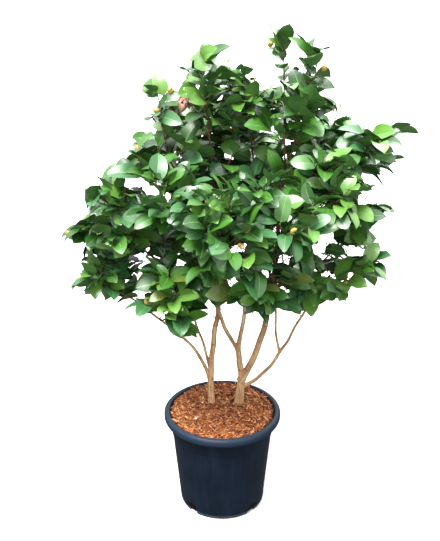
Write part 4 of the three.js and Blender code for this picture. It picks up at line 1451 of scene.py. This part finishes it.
# %% Leaf forms
# The outline: shares of the length from the base, and of half the width there. The first two are the stalk.
LEAF_SHARES = np.array([0, 0, 0.05, 0.14, 0.27, 0.42, 0.57, 0.71, 0.83, 0.92, 1.0])
LEAF_OUTLINE = np.array([0, 0, 0.50, 0.80, 0.96, 1.0, 0.97, 0.87, 0.66, 0.33, 0.015])
LEAF_COLUMNS = 5
# The five points of a section: edge, two beside the midrib, edge, and one below the midrib.
EDGE_SIDE = np.array([1, 0, 0, -1, 0])
RIB_SIDE = np.array([0, 1, -1, 0, 0])
BESIDE_RIB, BELOW_RIB = slice(1, 3), 4
FORM_COUNT = 8
STALK_RADIUS = 0.0009
MIDRIB_HALF = 0.0008
# The narrow limits of each trait of a form: fold, droop, arch, curl, wave, twist and breadth.
FORM_LOW = np.array([0.003, 0.006, 0.001, 0.000, -0.0015, -0.3, 0.9])
FORM_HIGH = np.array([0.011, 0.022, 0.008, 0.008, 0.0025, 0.4, 1.12])


def leaf_form(fold, droop, arch, curl, wave, twist, broad):
    """half(s) = broad * width / 2 * outline(s), and the stalk's radius in the first two sections.
    middle(s) = arch * sin(pi s) - droop * s^2.4, and at an edge, where t is 1 or -1,
    height = middle + half / (width / 2) * (fold - curl * s + wave * sin(4 pi s + 2 t)).
    The point below the midrib hangs under the middle, and the section turns by twist * s."""
    s = LEAF_SHARES
    half = np.maximum(LEAF_OUTLINE * broad * LEAF["width"] / 2, 0.0003)
    half[:2] = STALK_RADIUS
    rib = np.minimum(MIDRIB_HALF * (1.3 - s), half * 0.4)
    t = EDGE_SIDE
    across = half[:, None] * t + rib[:, None] * RIB_SIDE
    lift = half[:, None] / (LEAF["width"] / 2)
    middle = arch * np.sin(np.pi * s) - droop * s ** 2.4
    height = middle[:, None] + lift * (fold - curl * s[:, None]) * np.abs(t)
    height += lift * wave * np.abs(t) * np.sin(4 * np.pi * s[:, None] + 2 * t)
    height[:, BELOW_RIB] -= 0.0012 - 0.0007 * s
    height[:2, BESIDE_RIB] += 0.0006
    along = LEAF["petiole"] + LEAF["length"] * s
    along[0] = 0
    turn = twist * s
    places = np.stack([across * np.cos(turn)[:, None] - height * np.sin(turn)[:, None],
                       np.broadcast_to(along[:, None], across.shape),
                       height * np.cos(turn)[:, None] + across * np.sin(turn)[:, None]], -1)
    return places.reshape(-1, 3)


def leaf_forms(draws):
    """Forms drawn between narrow limits for each trait."""
    traits = FORM_LOW + (FORM_HIGH - FORM_LOW) * draws.uniform(0, 1, (FORM_COUNT, len(FORM_LOW)))
    return np.stack([leaf_form(*row) for row in traits])


TOP, RIB, UNDER = 0, 1, 2
STRIPS = [TOP, RIB, TOP, UNDER, UNDER]
SLANTED = [0, 3]  # the strips that are cut the other way


def leaf_faces():
    """The grid's faces with their parts: top, midrib or under side, and the stalk in the midrib's finish.
    A square that isn't flat is cut in two from its first corner to its third. The slanted columns start at
    their second corner, so that the top and the under side are cut alike and never cross."""
    rows = len(LEAF_SHARES)
    squares = grid_faces(rows, LEAF_COLUMNS).reshape(rows - 1, LEAF_COLUMNS, 4)
    squares[:, SLANTED] = np.roll(squares[:, SLANTED], -1, axis=-1)
    parts = np.tile(STRIPS, (rows - 1, 1))
    parts[0] = RIB
    return squares.reshape(-1, 4), parts.reshape(-1), end_faces(rows, LEAF_COLUMNS)


forms = leaf_forms(np.random.default_rng(3))
print(f"{len(forms)} leaf forms of {len(leaf_faces()[0]) + 2} faces")

# %% [markdown]
# ### Leaf colours
#
# Seen from a step away the crown is a patchwork: most leaves are deep green, some lighter or bluer, and a few
# old ones have turned yellowish. The colours go by spray: each twig draws one of six greens, and nearly half
# of its leaves take the green of another spray of the same mass, so that no spray is all of one tone. The
# chances also carry painted light and shade: low masses, which stand in the crown's shade, draw more of the
# lighter greens as painted light, and masses at mid height and those in full light draw more of the deepest
# greens as painted shade. A value read from noise over the whole crown would be less work, but it would paint
# patches across leaves that have nothing to do with each other. The gloss is a constant on each shader, a thin
# coat, and a little noise breaks up the green inside each leaf.

# %% Leaf finishes
GREENS = {  # two tones each, which noise mixes
    "leaf_deep": ((24, 68, 13), (40, 90, 22)),
    "leaf_green": ((49, 102, 26), (70, 126, 38)),
    "leaf_blue_green": ((43, 94, 45), (66, 121, 68)),
    "leaf_mid": ((76, 126, 39), (102, 152, 56)),
    "leaf_fresh": ((78, 126, 40), (98, 144, 55)),
    "leaf_yellowed": ((94, 116, 44), (118, 136, 60)),
}
STRAY_SHARE = 0.45  # of the leaves, which take the green of another spray of their mass
# The chances of the six greens in masses at three heights, and in the masses in full light. Besides a real
# mix of tones they paint light and shade: lighter greens low down, where the crown shades itself, are
# painted light, and deeper greens at mid height and in full light are painted shade.
CHANCE_HEIGHTS = (0.75, 0.98, 1.45)
TONE_AND_PAINTED_LIGHT_CHANCES = (
    (0.14, 0.26, 0.22, 0.28, 0.08, 0.02),
    (0.33, 0.28, 0.21, 0.14, 0.03, 0.01),
    (0.28, 0.26, 0.21, 0.18, 0.06, 0.01),
)
# Painted shade: masses in full light draw mostly the deepest greens.
SUNLIT_PAINTED_SHADE_CHANCES = (0.40, 0.30, 0.18, 0.10, 0.02, 0.0)
SUNLIT = [*OPEN_SPRIGS, "front_left", "front_right"]
COAT_ROUGHNESS = 0.42


def leaf_finish(name, dark, light, roughness=0.4, coat=1.0):
    finish = Finish(name, roughness)
    patches = finish.noise(30, 2)
    finish.colour(finish.ramp(patches, (0.2, linear(*dark)), (0.8, linear(*light))))
    finish.shader.inputs["Coat Weight"].default_value = coat
    finish.shader.inputs["Coat Roughness"].default_value = COAT_ROUGHNESS
    finish.bump(finish.noise(160, 2), 0.0007, 0.35)
    return finish.material


leaf_finishes = [leaf_finish(name, *tones) for name, tones in GREENS.items()]
leaf_finishes.append(leaf_finish("leaf_midrib", (92, 140, 72), (122, 166, 96)))
leaf_finishes.append(leaf_finish("leaf_underside", (62, 104, 46), (88, 128, 64), 0.55, 0))
RIB_FINISH, UNDER_FINISH = len(GREENS), len(GREENS) + 1


def spray_greens(own, draws):
    """One green for each spray of a mass. A low mass, in the crown's shade, has more of the lighter greens as
    painted light, and a mass in full light more of the deep ones as painted shade."""
    chances = np.array([np.interp(centres[own][2], CHANCE_HEIGHTS, column) for column in zip(*TONE_AND_PAINTED_LIGHT_CHANCES)])
    if leaders[own]["name"] in SUNLIT:
        chances = np.array(SUNLIT_PAINTED_SHADE_CHANCES)
    return draws.choice(len(GREENS), len(crown[own]["twigs"]), p=chances / chances.sum())


print(f"{len(GREENS)} greens, {len(leaf_finishes)} leaf finishes")

# %% [markdown]
# ### Leaf meshes
#
# All leaves of one part of the crown become one mesh, which stands for the masses of that part. A place on a
# leaf is foot + across * x + along * y + facing * z, for the three axes that the leaf was given above and
# the (x, y, z) of its form, so one product of two arrays places every leaf. One object for each leaf would
# be easier to pick and move, but three thousand objects would be slow to open and to export.

# %% Leaf meshes
TOP_FROM = 1.2  # masses with their centre higher than this are the top of the crown
SIDE_DEPTH = 0.12  # and lower ones further than this from the middle are its front and its back


def region_of(own):
    """The part of the crown that a mass belongs to, by where its centre is."""
    x, y, z = centres[own]
    if z > TOP_FROM:
        return "top"
    if y > SIDE_DEPTH:
        return "back"
    if y < -SIDE_DEPTH:
        return "front"
    return "left" if x < 0 else "right"


def mark_edges(mesh, columns, rims):
    """Marks the long edges of each leaf, which run along the rim columns, as sharp, so that its face and its
    under side are lit apart."""
    ends = np.empty(len(mesh.edges) * 2, np.int32)
    mesh.edges.foreach_get("vertices", ends)
    column = (ends.reshape(-1, 2)) % columns
    sharp = (column[:, 0] == column[:, 1]) & np.isin(column[:, 0], rims)
    mesh.attributes.new("sharp_edge", "BOOLEAN", "EDGE")
    mesh.attributes["sharp_edge"].data.foreach_set("value", sharp)


def build_foliage(region, members, draws):
    """The leaves of some masses as one mesh, each face with its finish: green, midrib or under side."""
    surface = Surface()
    grid, parts, ends = leaf_faces()
    for own in members:
        group = leaves[own]
        form = draws.integers(0, FORM_COUNT, len(group["feet"]))
        places = group["feet"][:, None] + np.einsum("npk,nkx->npx", forms[form], group["axes"])
        greens = spray_greens(own, draws)
        stray = draws.uniform(0, 1, len(form)) < STRAY_SHARE
        green = np.where(stray, draws.choice(greens, len(form)), greens[group["sprays"]])[:, None]
        finishes = np.where(parts == TOP, green, np.where(parts == RIB, RIB_FINISH, UNDER_FINISH))
        tips = np.hstack([np.full_like(green, RIB_FINISH), green])
        surface.add(places, (grid, finishes), (ends, tips))
    mesh = surface.mesh("foliage_" + region)
    mark_edges(mesh, LEAF_COLUMNS, (0, LEAF_COLUMNS - 2))
    return mesh


regions = {}
for own in range(len(leaders)):
    regions.setdefault(region_of(own), []).append(own)
draws = np.random.default_rng(21)
for region, members in regions.items():
    foliage = build_foliage(region, members, draws)
    add_piece(foliage, leaf_finishes, ["leaves_" + leaders[own]["name"] for own in members])
    print(measure(foliage))

# %% [markdown]
# ## Twigs
#
# The leaders, shoots and finer twigs are tubes that taper to their tips. A curve with a bevel would draw each
# of them, but all tubes have the same number of rings and sides, so one array holds them all. This year's
# growth is a thin reddish brown, and the leaders that carry it are darker wood.

# %% Twig meshes
TWIG_SIDES = 6
TWIG_RINGS = 8
LEADER_WOOD, SHOOT_WOOD = 0, 1


def build_twigs(region, members):
    """radius = straight taper * (1 + 0.05 * sin(31 * share)), a slight swelling where leaves have stood."""
    twigs = [twig for own in members for twig in crown[own]["twigs"] if twig["kept"]]
    share = np.linspace(0, 1, TWIG_RINGS)
    paths = np.stack([twig["path"](share) for twig in twigs])
    ends = np.array([twig["radii"] for twig in twigs])
    radii = ends[:, :1] + (ends[:, 1:] - ends[:, :1]) * share
    radii = radii * (1 + 0.05 * np.sin(share * 31)[None])
    kinds = [LEADER_WOOD if twig["radii"] == LEADER_RADII else SHOOT_WOOD for twig in twigs]
    kinds = np.array(kinds)[:, None]
    surface = Surface()
    surface.add(tube_places(paths, radii, TWIG_SIDES), (grid_faces(TWIG_RINGS, TWIG_SIDES), kinds),
                (end_faces(TWIG_RINGS, TWIG_SIDES), kinds))
    return surface.mesh("twigs_" + region)


def twig_finish(name, dark, light):
    finish = Finish(name, 0.6)
    grain = finish.noise(330, 4, stretch=(1, 1, 0.4))
    finish.colour(finish.ramp(grain, (0.3, linear(*dark)), (0.7, linear(*light))))
    finish.bump(grain, 0.0003, 0.6)
    return finish.material


twig_finishes = [twig_finish("wood_young", (84, 54, 38), (128, 90, 66)),
                 twig_finish("shoot_red_brown", (104, 60, 40), (150, 98, 66))]
for region, members in regions.items():
    twigs = build_twigs(region, members)
    add_piece(twigs, twig_finishes)
    print(measure(twigs))

# %% [markdown]
# ## Buds and faded blooms
#
# Fat yellow-brown flower buds sit in threes at the tips of the outermost shoots, wrapped in overlapping
# scales, and slim green leaf buds end the other shoots. A bud could be modelled with its scales one by one,
# but it is two centimetres long, so it is a turned shape of a few faces: its radius is a root of a sine,
# with small steps for the scales.

# %% Buds
BUD = {"length": 0.020, "radius": 0.0060, "past_tip": 0.004}
BUD_ROWS, BUD_COLUMNS = 8, 8
CLUSTER = 3
SPREAD = {"flower": 0.45, "leaf": 0.05}  # how far the buds of a cluster lean apart
BUD_SIZES = {"flower": (1, 1, 1), "leaf": (0.42, 0.42, 0.75)}


def bud_form():
    """radius(s) = sin(pi * s^0.8)^0.7, and every second row is 6 % wider, for the scales."""
    s = np.linspace(0.02, 0.985, BUD_ROWS)
    radius = BUD["radius"] * np.sin(np.pi * s ** 0.8) ** 0.7 * (1 + 0.06 * (np.arange(BUD_ROWS) % 2))
    return turned_places((radius, BUD["length"] * s), BUD_COLUMNS)[0]


def frames_along(directions):
    """Three axes for each direction, the third of them along it."""
    along = unit(directions)
    reference = np.where(np.abs(along[:, 2:]) < 0.9, [[0.0, 0, 1]], [[1.0, 0, 0]])
    across = unit(np.cross(reference, along))
    return np.stack([across, np.cross(along, across), along], axis=1)


def flowering_shoots(own):
    """The shoots of a mass that carry flower buds, numbered as in its list of twigs, where the leader is 0:
    those whose tips stand furthest from the crown's core but inside its outline."""
    tips = np.array([shoot(1.0) for shoot in crown[own]["shoots"]])
    reach = np.linalg.norm(tips - CROWN_CORE, axis=1) * in_outline(tips, EDGE_ROOM["bud"])
    furthest = np.argsort(-reach)
    return set(furthest[:leaders[own]["buds"]] + 1)


def bud_places(draws):
    """Feet and directions of buds: three in a cluster on the shoots that carry flower buds, and one slim
    leaf bud at the tip of each other leader and shoot."""
    found = {"flower": [], "leaf": []}
    for own, mass in enumerate(crown):
        flowering = flowering_shoots(own)
        for number, twig in enumerate(mass["twigs"]):
            near = twig["path"](np.array([0.97, 1.0]))
            if not twig["kept"] or twig["radii"] == TWIG_RADII or not in_outline(near[1], EDGE_ROOM["bud"]):
                continue
            kind = "flower" if number in flowering else "leaf"
            direction = unit(near[1] - near[0])
            foot = near[1] + direction * BUD["past_tip"]
            for _ in range(CLUSTER if kind == "flower" else 1):
                found[kind].append((foot, unit(direction + draws.normal(0, SPREAD[kind], 3))))
    return found


def build_buds(draws):
    surface = Surface()
    form = bud_form()
    faces = (grid_faces(BUD_ROWS, BUD_COLUMNS), end_faces(BUD_ROWS, BUD_COLUMNS))
    for finish, (kind, rows) in enumerate(bud_places(draws).items()):
        feet = np.array([foot for foot, _ in rows])
        axes = frames_along(np.array([direction for _, direction in rows]))
        scale = draws.uniform(0.8, 1.15, (len(rows), 1, 1))
        places = feet[:, None] + scale * np.einsum("pk,nkx->npx", form * BUD_SIZES[kind], axes)
        surface.add(places, (faces[0], finish), (faces[1], finish))
    return surface.mesh("buds")


def bud_finish(name, dark, light):
    finish = Finish(name, 0.45)
    finish.colour(finish.ramp(finish.noise(500, 2), (0.3, linear(*dark)), (0.7, linear(*light))))
    return finish.material


buds = build_buds(np.random.default_rng(8))
add_piece(buds, [bud_finish("bud_scales", (150, 128, 60), (206, 176, 104)),
                 bud_finish("bud_green", (104, 118, 52), (150, 140, 74))])
print(measure(buds))

# %% [markdown]
# Two blooms at the upper left have faded to a dull pink-brown. Their petals are limp and curled, so each
# bloom is a ring of one leaf form, short, broad and strongly curled, in another colour: a shape that we
# already have, where a modelled flower would show no more at this size.

# %% Faded blooms
BLOOMS = [(-0.103, -0.02, 1.325), (-0.142, -0.02, 1.29)]
PETALS = 9
PETAL = {"fold": 0.012, "droop": 0.02, "arch": 0.012, "curl": 0.01, "wave": 0.006, "twist": 0.6, "broad": 1.1}
PETAL_STRETCH = {"across": 1.7, "facing": 2.2}


def build_blooms(draws):
    """Petals that point outwards at the golden angle, at a rise of their own."""
    surface = Surface()
    grid, _, ends = leaf_faces()
    petal = leaf_form(**PETAL)
    for centre in BLOOMS:
        turn = np.arange(PETALS) * GOLDEN_ANGLE
        rise = draws.uniform(-0.7, 0.9, PETALS)
        along = unit(np.stack([np.cos(turn), np.sin(turn), rise], -1))
        facing = unit(UP - along * along[:, 2:] + 1e-6)
        size = draws.uniform(0.24, 0.34, (PETALS, 1, 1))
        across = np.cross(along, facing) * PETAL_STRETCH["across"]
        axes = np.stack([across, along, facing * PETAL_STRETCH["facing"]], axis=1) * size
        places = np.array(centre) + np.einsum("pk,nkx->npx", petal, axes)
        surface.add(places, (grid, 0), (ends, 0))
    return surface.mesh("faded_blooms")


blooms = build_blooms(np.random.default_rng(2))
add_piece(blooms, [bud_finish("bloom_faded", (140, 92, 80), (200, 160, 138))])
print(measure(blooms))

# %% Size of the solid model
print(f"solid box {np.round(cad_box, 3).tolist()}")
